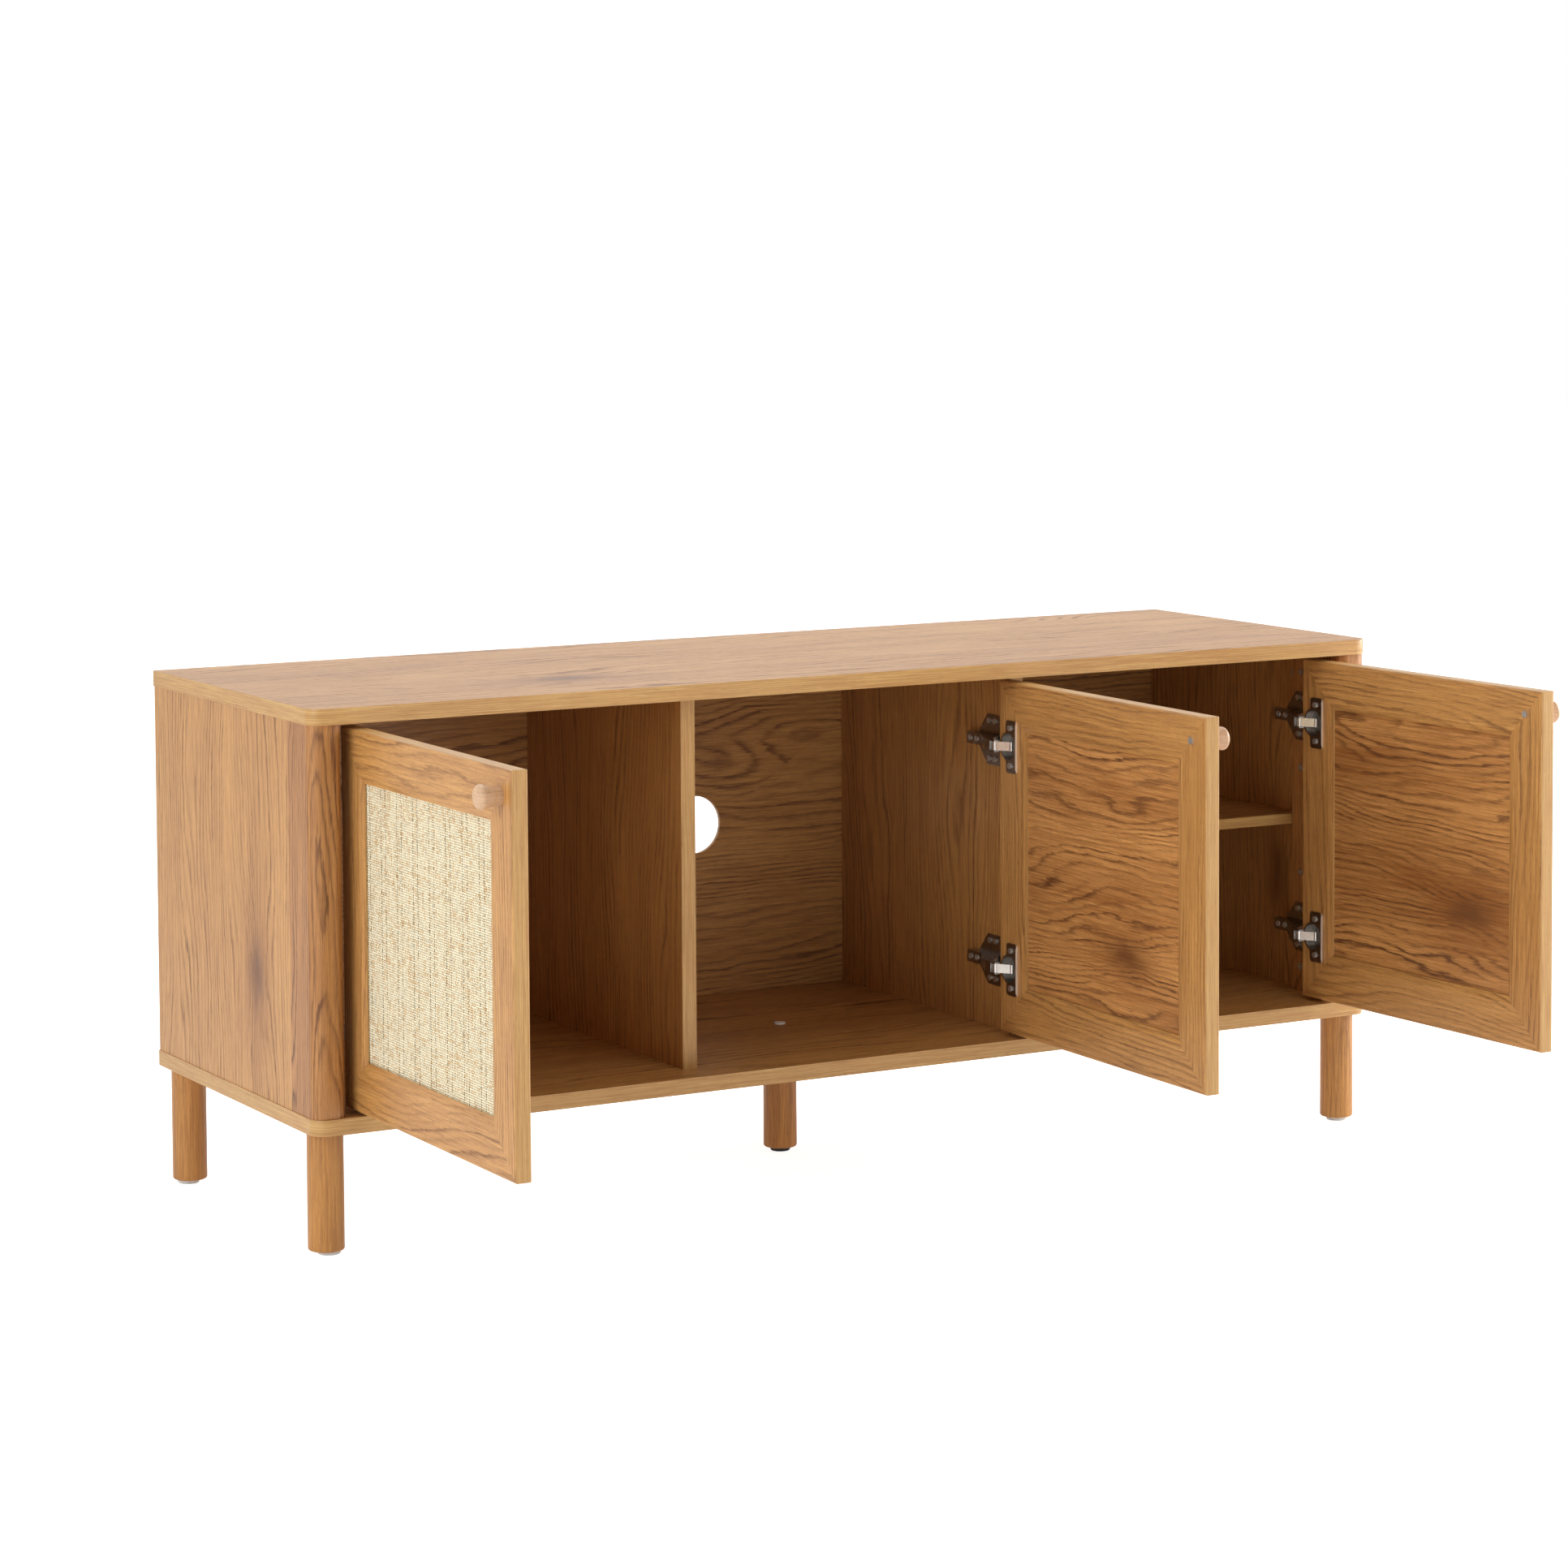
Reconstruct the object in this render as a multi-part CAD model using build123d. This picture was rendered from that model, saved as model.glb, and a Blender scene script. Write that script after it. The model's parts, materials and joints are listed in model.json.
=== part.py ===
"""Media cabinet: oak-look board carcass on five round legs, three rattan-front doors.

Millimetres. X runs along the width, the front faces -Y and +Z is up. The origin is on
the floor, under the middle of the carcass. The doors stand open, as they rest.
"""

import os

from build123d import *

os.makedirs("parts", exist_ok=True)

# ---------------------------------------------------------------- driving sizes
cabinet_width = 1400.0
cabinet_depth = 465.0
cabinet_height = 598.0
board = 18.0                 # top, bottom, sides and dividers
leg_length = 130.0
leg_diameter = 40.0
glide_height = 5.0

# Carcass
side_overhang = 1.0          # top and bottom past the side panels
front_overhang = 2.5         # top and bottom past posts and closed doors
back_overhang = 1.0
slab_corner_radius = 18.0    # front corners of top and bottom, in plan
post_width = 38.0            # along X, at the front
post_depth = 65.0            # full-width part of the post, along Y
post_lap = 37.0              # tongue behind the side panel
post_outer_radius = 15.0
post_inner_radius = 12.0
divider_setback = 45.0       # divider front edge behind the closed door faces
back_thickness = 5.0
back_inset = 14.0            # back panel behind the carcass rear edge
groove_depth = 6.0
groove_slack = 0.2
cable_hole_diameter = 72.0
shelf_thickness = 13.0
shelf_front_gap = 4.0        # behind the post tongue
shelf_end_gap = 0.75

# Legs and feet
leg_inset_x = 24.0
leg_inset_y = 32.0
leg_edge_radius = 2.5
glide_diameter = 25.0
glide_nail_diameter = 3.0
glide_nail_length = 14.0
# Hand-fitted glides sit a little off the leg axes: (leg name, x, y)
glide_offsets = (
    ("front_left", 3.5, 0.5),
    ("front_right", 0.5, -0.5),
    ("rear_left", -2.0, 0.5),
    ("rear_right", 0.0, 1.0),
)
leg_bolt_diameter = 8.0
leg_bolt_depth = 38.0        # in the leg
insert_diameter = 12.0
insert_length = 13.0
leveller_diameter = 27.0
leveller_foot_diameter = 22.0
leveller_stud_length = 32.0
leveller_travel = 10.0
leg_cap_diameter = 14.0
leg_cap_height = 2.0

# Doors
door_thickness = 18.0
door_gap = 4.0               # between doors, and between door and post
door_top_gap = 6.0
door_bottom_gap = 4.5
door_edge_radius = 2.0
frame_width = 57.0
frame_bevel = 8.0            # sloping inner lip of the frame
bevel_drop_front = 3.0
bevel_drop_back = 2.0
panel_recess_front = 5.0
panel_recess_back = 4.5
rattan_thickness = 1.8
panel_tongue = 7.0           # how far the panel runs into its groove
panel_slack = 0.1
knob_diameter = 26.0
knob_neck_diameter = 20.0
knob_length = 26.0
knob_edge_radius = 5.0
knob_inset = 28.5            # from the free edge and from the top edge

# Hinges, measured from the closed door's hinge edge (u) and outer face (v)
pivot_u = 23.0
pivot_v = 14.5
hinge_end_distance = 76.5    # hinge centre from the door's end
cup_u = 22.0
cup_diameter = 35.0
cup_depth = 11.5
cup_wall = 1.0
cup_mouth_diameter = 31.0
flange_thickness = 1.5
flange_height = 62.0
flange_u_start = 17.0
flange_lip = 1.0
flange_screw_u = 26.5
flange_screw_spacing = 44.5
link_pin_u = 36.5
link_pin_v = 31.0
link_tip_u = 24.5
link_tip_v = 13.5
link_thickness = 3.2
link_height = 10.5
link_eye_diameter = 5.6
link_pin_diameter = 2.5
link_ratio = 0.12            # link turn for each degree of door turn
arm_height = 14.0
arm_front_v = 27.0
arm_back_v = 124.0
arm_front_depth = 7.0
arm_back_depth = 9.0
plate_thickness = 2.0
plate_front_v = 63.0
plate_back_v = 110.0
plate_height = 60.0
plate_neck_v = 92.0
screw_head_diameter = 7.0
screw_head_height = 1.8
screw_shank_diameter = 3.6
plate_screw_length = 12.0
cup_screw_length = 9.0

# Fits and fasteners
bore_slack = 0.1             # radial, round fixed pins and screws
running_slack = 0.06         # radial, round pins that turn or slide
dowel_diameter = 8.0
dowel_length = 28.0
dowel_in_slab = 11.0
cam_diameter = 15.0
cam_depth = 12.5
cam_distance = 34.0          # cam centre from the panel's top edge
cam_bolt_diameter = 6.0
cam_bolt_in_slab = 11.0
deck_screw_diameter = 6.0
deck_screw_head = 10.0
deck_screw_length = 48.0
post_screw_steps = ((-50.0, 68.0), (-64.5, 54.0))   # from the lower and the upper hinge
shelf_pin_diameter = 5.0
shelf_pin_collar = 9.0
shelf_pin_length = 8.0       # in the panel, and proud of it

# Door turn from closed, as the doors rest, and the stop
rest_turn = {"left": 90.5, "middle": 89.0, "right": 92.5}
full_turn = 100.0

# ---------------------------------------------------------------- worked-out places
half_width = cabinet_width / 2
front_y = -cabinet_depth / 2
back_y = cabinet_depth / 2
slab_z = glide_height + leg_length            # underside of the bottom panel
deck_z = slab_z + board                       # inside floor
ceiling_z = cabinet_height - board            # underside of the top
side_out = half_width - side_overhang
side_in = side_out - board
post_in = side_out - post_width
face_y = front_y + front_overhang             # closed door faces and post fronts
seam_y = face_y + post_depth                  # side panel starts here
tongue_y = seam_y + post_lap
carcass_back_y = back_y - back_overhang
back_front_y = back_y - back_inset - back_thickness
divider_front_y = face_y + divider_setback
door_width = (2 * post_in - 4 * door_gap) / 3
door_z0 = deck_z + door_bottom_gap
door_z1 = ceiling_z - door_top_gap
door_height = door_z1 - door_z0
divider_x = door_width / 2 + door_gap / 2     # centre of the right divider
hinge_z = (door_z0 + hinge_end_distance, door_z1 - hinge_end_distance)
pivot_y = face_y + pivot_v
middle_z = (deck_z + ceiling_z) / 2
shelf_z = middle_z - shelf_thickness / 2
shelf_front_y = tongue_y + shelf_front_gap
dowel_rows = (divider_front_y + 40.0, carcass_back_y - 60.0)
cam_rows = (divider_front_y + 80.0, carcass_back_y - 100.0)
leg_places = {
    "front_left": (-half_width + leg_inset_x, front_y + leg_inset_y),
    "front_right": (half_width - leg_inset_x, front_y + leg_inset_y),
    "rear_left": (-half_width + leg_inset_x, back_y - leg_inset_y),
    "rear_right": (half_width - leg_inset_x, back_y - leg_inset_y),
    "centre": (0.0, 0.0),
}

# Each door: the side its hinges are on (+1 right, -1 left), the hinge edge when closed,
# and the face that carries its mounting plates
doors = {
    "left": (-1, -(post_in - door_gap), -post_in),
    "middle": (1, divider_x - door_gap / 2, divider_x - board / 2),
    "right": (1, post_in - door_gap, post_in),
}


# ---------------------------------------------------------------- helpers
def save(name, *solids):
    """Write one node; several solids are a group of separate pieces."""
    shape = solids[0] if len(solids) == 1 else Compound(children=list(solids))
    export_step(shape, f"parts/{name}.step")


def block(x0, x1, y0, y1, z0, z1):
    """A box between two corners."""
    return Pos((x0 + x1) / 2, (y0 + y1) / 2, (z0 + z1) / 2) * Box(x1 - x0, y1 - y0, z1 - z0)


def rod_z(diameter, x, y, z0, z1):
    return Pos(x, y, (z0 + z1) / 2) * Cylinder(diameter / 2, z1 - z0)


def rod_y(diameter, x, y0, y1, z):
    return Pos(x, (y0 + y1) / 2, z) * Rot(90, 0, 0) * Cylinder(diameter / 2, y1 - y0)


def rod_x(diameter, x0, x1, y, z):
    return Pos((x0 + x1) / 2, y, z) * Rot(0, 90, 0) * Cylinder(diameter / 2, x1 - x0)


def prism_z(points, z0, z1):
    """An outline in X and Y, raised from z0 to z1."""
    return extrude(Pos(0, 0, z0) * Polygon(*points, align=None), z1 - z0, dir=(0, 0, 1))


def prism_x(points, x0, x1):
    """An outline in Y and Z, carried from x0 to x1."""
    plane = Plane(origin=(x0, 0, 0), x_dir=(0, 1, 0), z_dir=(1, 0, 0))
    return extrude(plane * Polygon(*points, align=None), x1 - x0, dir=(1, 0, 0))


def slab(z0, z1):
    """A full-size board with its two front corners rounded in plan."""
    outline = Polygon(
        (-half_width, front_y), (half_width, front_y), (half_width, back_y), (-half_width, back_y), align=None
    )
    front_corners = outline.vertices().sort_by(Axis.Y)[:2]
    outline = fillet(front_corners, slab_corner_radius)
    return Pos(0, 0, z0) * extrude(outline, z1 - z0)


def mirrored(shape, hand):
    """Right-hand shapes are drawn first; the left-hand ones are their mirror image."""
    return shape if hand > 0 else mirror(shape, about=Plane.YZ)


# ---------------------------------------------------------------- joinery places
vertical_panels = [(side * x, side) for side in (-1, 1) for x in (side_in + board / 2, divider_x)]
dowel_places = [(x, y) for x, _ in vertical_panels for y in dowel_rows]
post_centre_x = (post_in + side_out) / 2
post_dowel_y = seam_y - 12.0
dowel_places += [(side * post_centre_x, post_dowel_y) for side in (-1, 1)]
cam_places = [(x, y) for x, _ in vertical_panels for y in cam_rows]


def dowel(x, y, top):
    """A dowel across the joint under the top, or over the bottom panel."""
    if top:
        return rod_z(dowel_diameter, x, y, ceiling_z + dowel_in_slab - dowel_length, ceiling_z + dowel_in_slab)
    return rod_z(dowel_diameter, x, y, deck_z - dowel_in_slab, deck_z - dowel_in_slab + dowel_length)


def dowel_bore(x, y, top):
    middle = ceiling_z + dowel_in_slab - dowel_length / 2 if top else deck_z - dowel_in_slab + dowel_length / 2
    reach = dowel_length / 2 + bore_slack
    return rod_z(dowel_diameter + 2 * bore_slack, x, y, middle - reach, middle + reach)


def cam_face(x):
    """The panel face that the cam is let into, and the way into the board: away from the doorway."""
    if abs(x) > side_in:
        return (side_in, 1) if x > 0 else (-side_in, -1)
    return (x + board / 2, -1)


def cam_parts(x, y):
    """Cam housing, its bolt, and the two cuts that hold them."""
    face, inward = cam_face(x)
    z = ceiling_z - cam_distance
    ends = sorted((face, face + inward * cam_depth))
    slack = bore_slack
    pocket_ends = sorted((face - inward, face + inward * (cam_depth + slack)))
    bolt_bore = rod_z(cam_bolt_diameter + 2 * slack, x, y, z - 3.0, ceiling_z + cam_bolt_in_slab + slack)
    cam = rod_x(cam_diameter, *ends, y, z) - bolt_bore
    slot_face = sorted((face - inward, face + inward * 2.0))
    cam -= block(*slot_face, y - 0.9, y + 0.9, z - 5.5, z + 5.5)
    bolt = rod_z(cam_bolt_diameter, x, y, z - 2.5, ceiling_z + cam_bolt_in_slab)
    pocket = rod_x(cam_diameter + 2 * slack, *pocket_ends, y, z)
    return cam, bolt, pocket, bolt_bore


def deck_screw(x, y, slack=0.0):
    """A countersunk connector screw, driven up through the bottom panel."""
    shank = rod_z(deck_screw_diameter + 2 * slack, x, y, slab_z - slack, slab_z + deck_screw_length + slack)
    head = rod_z(deck_screw_head + 2 * slack, x, y, slab_z - slack, slab_z + 3.0 + slack)
    return shank + head


deck_screw_places = cam_places
dowel_bores_top = [dowel_bore(x, y, True) for x, y in dowel_places]
dowel_bores_bottom = [dowel_bore(x, y, False) for x, y in dowel_places]
cam_sets = {place: cam_parts(*place) for place in cam_places}
deck_screw_bores = [deck_screw(x, y, bore_slack) for x, y in deck_screw_places]

shelf_x0 = divider_x + board / 2 + shelf_end_gap
shelf_x1 = side_in - shelf_end_gap
shelf_pin_rows = (shelf_front_y + 40.0, back_front_y - 45.0)
shelf_pin_z = shelf_z - shelf_pin_diameter / 2
shelf_pin_faces = ((divider_x + board / 2, 1), (side_in, -1))


def shelf_pin(face, inward, y, slack=0.0):
    """A pin in a side wall with a collar against the wall."""
    reach = shelf_pin_length + slack
    ends = sorted((face - inward * reach, face + inward * shelf_pin_length))
    pin = rod_x(shelf_pin_diameter + 2 * slack, *ends, y, shelf_pin_z)
    if slack:
        return pin
    collar = rod_x(shelf_pin_collar, *sorted((face, face + inward)), y, shelf_pin_z)
    return pin + (collar - block(shelf_x0, shelf_x1, y - board, y + board, shelf_z, shelf_z + board))


shelf_pins = [shelf_pin(f, s, y) for f, s in shelf_pin_faces for y in shelf_pin_rows]
shelf_pin_bores = [shelf_pin(f, s, y, bore_slack) for f, s in shelf_pin_faces for y in shelf_pin_rows]


# ---------------------------------------------------------------- hinges, right-hand, u and v as above
def hinge_xy(edge_x, u, v):
    """Right-hand hinge coordinates to X and Y."""
    return edge_x - u, face_y + v


def plate_outline(z):
    """Mounting plate in Y and Z: two wings, tapered to a neck at the back."""
    y0, y1, y2 = (face_y + v for v in (plate_front_v, plate_neck_v, plate_back_v))
    half, neck = plate_height / 2, arm_height / 2 + 2.5
    return [(y0, z - half), (y1, z - half), (y2, z - neck), (y2, z + neck), (y1, z + half), (y0, z + half)]


def plate_screw_places(z):
    """Two screws in each wing."""
    front, rear = face_y + plate_front_v + 11.0, face_y + plate_front_v + 24.0
    return [(front, z + s * 22.5) for s in (-1, 1)] + [(rear, z + s * 22.5) for s in (-1, 1)]


def mounting_plate(face_x, z):
    plate = prism_x(plate_outline(z), face_x - plate_thickness, face_x)
    y0 = face_y + plate_front_v
    plate += block(face_x - plate_thickness - 1.0, face_x, y0 - 1.2, y0, z - plate_height / 2, z + plate_height / 2)
    for y, zs in plate_screw_places(z):
        plate -= rod_x(screw_shank_diameter + 2 * bore_slack, face_x - 2 * plate_thickness, face_x + 1, y, zs)
    return plate


def plate_screws(face_x, z, slack=0.0):
    """Pan-head screws of one plate; with slack, their pilot bores in the wall."""
    solids = []
    for y, zs in plate_screw_places(z):
        outer = face_x - plate_thickness
        shank = rod_x(
            screw_shank_diameter + 2 * slack, outer - slack, face_x + plate_screw_length + slack, y, zs
        )
        head = rod_x(screw_head_diameter, outer - screw_head_height, outer, y, zs)
        solids.append(shank if slack else shank + head)
    return solids


def hinge_arm(edge_x, face_x, z):
    """Cranked arm: flat on the plate at the back, a fork round the link at the front."""
    back_u = edge_x - face_x + plate_thickness
    front_u = link_pin_u + arm_front_depth / 2
    outline = [
        (back_u, arm_back_v),
        (back_u + arm_back_depth, arm_back_v),
        (back_u + arm_back_depth, plate_neck_v),
        (front_u, link_pin_v + 17.0),
        (front_u, arm_front_v),
        (front_u - arm_front_depth, arm_front_v),
        (front_u - arm_front_depth, link_pin_v + 10.0),
        (back_u, plate_front_v + 4.0),
    ]
    arm = prism_z([hinge_xy(edge_x, u, v) for u, v in outline], z - arm_height / 2, z + arm_height / 2)
    x, y = hinge_xy(edge_x, link_pin_u, link_pin_v)
    slot = link_height / 2 + 0.3
    reach = arm_front_depth
    arm -= block(x - reach, x + reach, y - reach, y + link_eye_diameter / 2 + 3.0, z - slot, z + slot)
    arm -= rod_z(link_pin_diameter + 2 * running_slack, x, y, z - arm_height, z + arm_height)
    return arm


def arm_screws(edge_x, face_x, z):
    """The two adjusting screws on the arm's outer face."""
    outer = face_x - plate_thickness - arm_back_depth
    places = (face_y + arm_back_v - 8.0, face_y + arm_back_v - 22.0)
    solids = []
    for y in places:
        head = rod_x(screw_head_diameter, outer - 1.2, outer, y, z)
        head -= block(outer - 2.0, outer - 0.6, y - 2.4, y + 2.4, z - 0.5, z + 0.5)
        head -= block(outer - 2.0, outer - 0.6, y - 0.5, y + 0.5, z - 2.4, z + 2.4)
        solids.append(head)
    return solids


def link_pin(edge_x, z):
    x, y = hinge_xy(edge_x, link_pin_u, link_pin_v)
    return rod_z(link_pin_diameter, x, y, z - arm_height / 2 - 0.4, z + arm_height / 2 + 0.4)


def hinge_link(edge_x, z):
    """The bright link from the arm into the cup, eyed at both ends."""
    x0, y0 = hinge_xy(edge_x, link_pin_u, link_pin_v)
    x1, y1 = hinge_xy(edge_x, link_tip_u, link_tip_v)
    along = Vector(x1 - x0, y1 - y0, 0)
    across = Vector(-along.Y, along.X, 0).normalized() * (link_thickness / 2)
    z0, z1 = z - link_height / 2, z + link_height / 2
    corners = [(x0 + across.X, y0 + across.Y), (x1 + across.X, y1 + across.Y)]
    corners += [(x1 - across.X, y1 - across.Y), (x0 - across.X, y0 - across.Y)]
    bar = prism_z(corners, z0, z1)
    bar += rod_z(link_eye_diameter, x0, y0, z0, z1) + rod_z(link_eye_diameter - 0.8, x1, y1, z0, z1)
    return bar - rod_z(link_pin_diameter + 2 * running_slack, x0, y0, z0 - 1, z1 + 1)


def turned(shape, edge_x, u, v, angle):
    """Turn a right-hand piece about the vertical line at (u, v)."""
    x, y = hinge_xy(edge_x, u, v)
    return Pos(x, y, 0) * Rot(0, 0, angle) * Pos(-x, -y, 0) * shape


# ---------------------------------------------------------------- doors, right-hand, closed
def frame_bar(length):
    """One mitred frame member along Z; its outer edge is at x = 0, its inner lip at -frame_width."""
    w, t, flat = frame_width, door_thickness, frame_width - frame_bevel
    groove0, groove1 = panel_recess_front, t - panel_recess_back
    groove_x = -(w - panel_tongue - 1.0)
    outline = Polygon(
        (0, 0),
        (-flat, 0),
        (-w, bevel_drop_front),
        (-w, groove0),
        (groove_x, groove0),
        (groove_x, groove1),
        (-w, groove1),
        (-w, t - bevel_drop_back),
        (-flat, t),
        (0, t),
        align=None,
    )
    outer = [v for v in outline.vertices() if abs(v.X) < 1e-6]
    outline = fillet(outer, door_edge_radius)
    bar = extrude(outline, length, dir=(0, 0, 1))
    mitre = Plane(origin=(0, -1, 0), x_dir=(1, 0, 0), z_dir=(0, -1, 0)) * Polygon(
        (0, 0), (0, length), (-w, length - w), (-w, w), align=None
    )
    return bar & extrude(mitre, t + 2, dir=(0, 1, 0))


def frame_members():
    """Hinge stile, free stile, bottom rail and top rail, round the closed door."""
    stile = Pos(0, 0, door_z0) * frame_bar(door_height)
    hinge_stile = Pos(0, face_y, 0) * stile
    free_stile = Pos(-door_width, face_y, 0) * mirror(stile, about=Plane.YZ)
    rail = Pos(-door_width, 0, 0) * Rot(0, 90, 0) * frame_bar(door_width)
    bottom_rail = Pos(0, face_y, door_z0) * rail
    top_rail = Pos(0, face_y, door_z1) * mirror(rail, about=Plane.XY)
    return hinge_stile, free_stile, bottom_rail, top_rail


knob_x = -door_width + knob_inset
knob_z = door_z1 - knob_inset


def knob():
    """Turned knob: a neck at the door, swelling to a rounded front."""
    profile = make_face(
        Polyline(
            (0, 0),
            (knob_neck_diameter / 2, 0),
            (knob_neck_diameter / 2, knob_length * 0.25),
            (knob_diameter / 2, knob_length * 0.8),
            (knob_diameter / 2, knob_length),
            (0, knob_length),
            close=True,
        )
    )
    rim = profile.vertices().sort_by(SortBy.DISTANCE)[-1]
    profile = fillet(rim, knob_edge_radius)
    body = revolve(Plane.XZ * profile, axis=Axis.Z)
    body = Pos(knob_x, face_y, knob_z) * Rot(90, 0, 0) * body
    return body - rod_y(4.0 + 2 * bore_slack, knob_x, face_y - 14.0 - bore_slack, face_y + 1, knob_z)


def knob_screw(slack=0.0):
    """Screw through the frame into the knob, its pan head on the inner face."""
    inner = face_y + door_thickness
    shank = rod_y(4.0 + 2 * slack, knob_x, face_y - 14.0 - slack, inner + slack, knob_z)
    if slack:
        return shank
    head = rod_y(8.0, knob_x, inner, inner + 2.0, knob_z)
    head -= block(knob_x - 2.6, knob_x + 2.6, inner + 1.0, inner + 3.0, knob_z - 0.5, knob_z + 0.5)
    head -= block(knob_x - 0.5, knob_x + 0.5, inner + 1.0, inner + 3.0, knob_z - 2.6, knob_z + 2.6)
    return shank + head


def hinge_cup(z):
    """Pressed cup with its flange on the door's inner face."""
    inner = face_y + door_thickness
    cup = rod_y(cup_diameter, -cup_u, inner - cup_depth, inner, z)
    flange_end = cup_u + cup_diameter / 2
    half = flange_height / 2
    flange = block(-flange_end, -flange_u_start, inner, inner + flange_thickness, z - half, z + half)
    flange = fillet(flange.edges().filter_by(Axis.Y), 4.0)
    lip_y = inner + flange_thickness
    lip = block(-flange_end, -flange_end + 1.2, inner, lip_y + flange_lip, z - half + 4.0, z + half - 4.0)
    body = cup + flange + rod_y(cup_diameter, -cup_u, inner, lip_y, z) + lip
    body -= rod_y(cup_mouth_diameter, -cup_u, inner - cup_depth + cup_wall, lip_y + 5.0, z)
    for side in (-1, 1):
        zs = z + side * flange_screw_spacing / 2
        body -= rod_y(screw_shank_diameter + 2 * bore_slack, -flange_screw_u, inner - 1, lip_y + 1, zs)
    return body


def cup_screws(z, slack=0.0):
    inner = face_y + door_thickness
    outer = inner + flange_thickness
    solids = []
    for side in (-1, 1):
        zs = z + side * flange_screw_spacing / 2
        shank = rod_y(screw_shank_diameter + 2 * slack, -flange_screw_u, inner - cup_screw_length - slack, outer, zs)
        head = rod_y(screw_head_diameter, -flange_screw_u, outer, outer + screw_head_height, zs)
        solids.append(shank if slack else shank + head)
    return solids


def door_pieces():
    """Every piece of one closed door, hinge edge at x = 0."""
    hinge_stile, free_stile, bottom_rail, top_rail = frame_members()
    inner = face_y + door_thickness
    for z in hinge_z:
        hinge_stile -= rod_y(cup_diameter + 2 * bore_slack, -cup_u, inner - cup_depth - bore_slack, inner + 1, z)
        for bore in cup_screws(z, bore_slack):
            hinge_stile -= bore
    knob_bore = knob_screw(bore_slack)
    inset = frame_width - panel_tongue
    sheet = (-door_width + inset, -inset)
    rattan_y = face_y + panel_recess_front + panel_slack
    board_y = rattan_y + rattan_thickness
    board_end = inner - panel_recess_back - panel_slack
    levels = (door_z0 + inset, door_z1 - inset)
    return {
        "stiles": [hinge_stile, free_stile - knob_bore],
        "rails": [bottom_rail, top_rail - knob_bore],
        "rattan_panel": [block(*sheet, rattan_y, board_y, *levels)],
        "backing_panel": [block(*sheet, board_y, board_end, *levels)],
        "knob": [knob()],
        "knob_screw": [knob_screw()],
        "hinge_cups": [hinge_cup(z) for z in hinge_z],
        "cup_screws": [screw for z in hinge_z for screw in cup_screws(z)],
    }


# ---------------------------------------------------------------- carcass
def make_slabs():
    bottom = slab(slab_z, deck_z)
    top = slab(ceiling_z, cabinet_height)
    for bore in dowel_bores_bottom + deck_screw_bores:
        bottom -= bore
    for bore in dowel_bores_top + [parts[3] for parts in cam_sets.values()]:
        top -= bore
    for name, (x, y) in leg_places.items():
        if name == "centre":
            bottom -= rod_z(leg_bolt_diameter + 2 * bore_slack, x, y, slab_z - 1, deck_z + 1)
        else:
            bottom -= rod_z(insert_diameter + 2 * bore_slack, x, y, slab_z - 1, slab_z + insert_length + bore_slack)
    groove = back_groove()
    save("top_panel", top - groove)
    save("bottom_panel", bottom - groove)


def back_groove():
    """The space that the back panel and its slack take in the boards round it."""
    reach_x = side_in + groove_depth + groove_slack
    return block(
        -reach_x,
        reach_x,
        back_front_y - groove_slack / 2,
        back_front_y + back_thickness + groove_slack / 2,
        deck_z - groove_depth - groove_slack,
        ceiling_z + groove_depth + groove_slack,
    )


def make_sides():
    groove = back_groove()
    for hand, name in ((-1, "left"), (1, "right")):
        panel = block(side_in, side_out, seam_y, carcass_back_y, deck_z, ceiling_z)
        panel = mirrored(panel, hand) - groove
        for bore in joinery_cuts(hand * (side_in + board / 2)) + post_screw_bores(hand):
            panel -= bore
        if hand > 0:
            for bore in shelf_pin_bores:
                panel -= bore
        save(f"side_panel_{name}", panel)


def joinery_cuts(x):
    """Every dowel, cam and deck-screw cut of the upright panel centred on x."""
    cuts = [dowel_bore(px, py, top) for px, py in dowel_places for top in (True, False) if abs(px - x) < board]
    for (px, _), (_, _, pocket, bolt_bore) in cam_sets.items():
        if abs(px - x) < board:
            cuts += [pocket, bolt_bore]
    cuts += [deck_screw(px, py, bore_slack) for px, py in deck_screw_places if abs(px - x) < board]
    return cuts


post_screw_heights = [z + step for z, steps in zip(hinge_z, post_screw_steps) for step in steps]
post_screw_y = (seam_y + tongue_y) / 2


def post_screw(hand, z, slack=0.0):
    """A screw from inside, through the post's tongue into the side panel."""
    tip = side_out - 6.0
    shank = rod_x(screw_shank_diameter + 2 * slack, post_in - slack, tip + slack, post_screw_y, z)
    head = rod_x(9.0 + 2 * slack, post_in - 1.2, post_in + 2.0 + slack, post_screw_y, z)
    if not slack:
        head -= block(post_in - 2.0, post_in - 0.2, post_screw_y - 2.6, post_screw_y + 2.6, z - 0.6, z + 0.6)
        head -= block(post_in - 2.0, post_in - 0.2, post_screw_y - 0.6, post_screw_y + 0.6, z - 2.6, z + 2.6)
    return mirrored(shank + head, hand)


def post_screw_bores(hand):
    return [post_screw(hand, z, bore_slack) for z in post_screw_heights]


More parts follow.
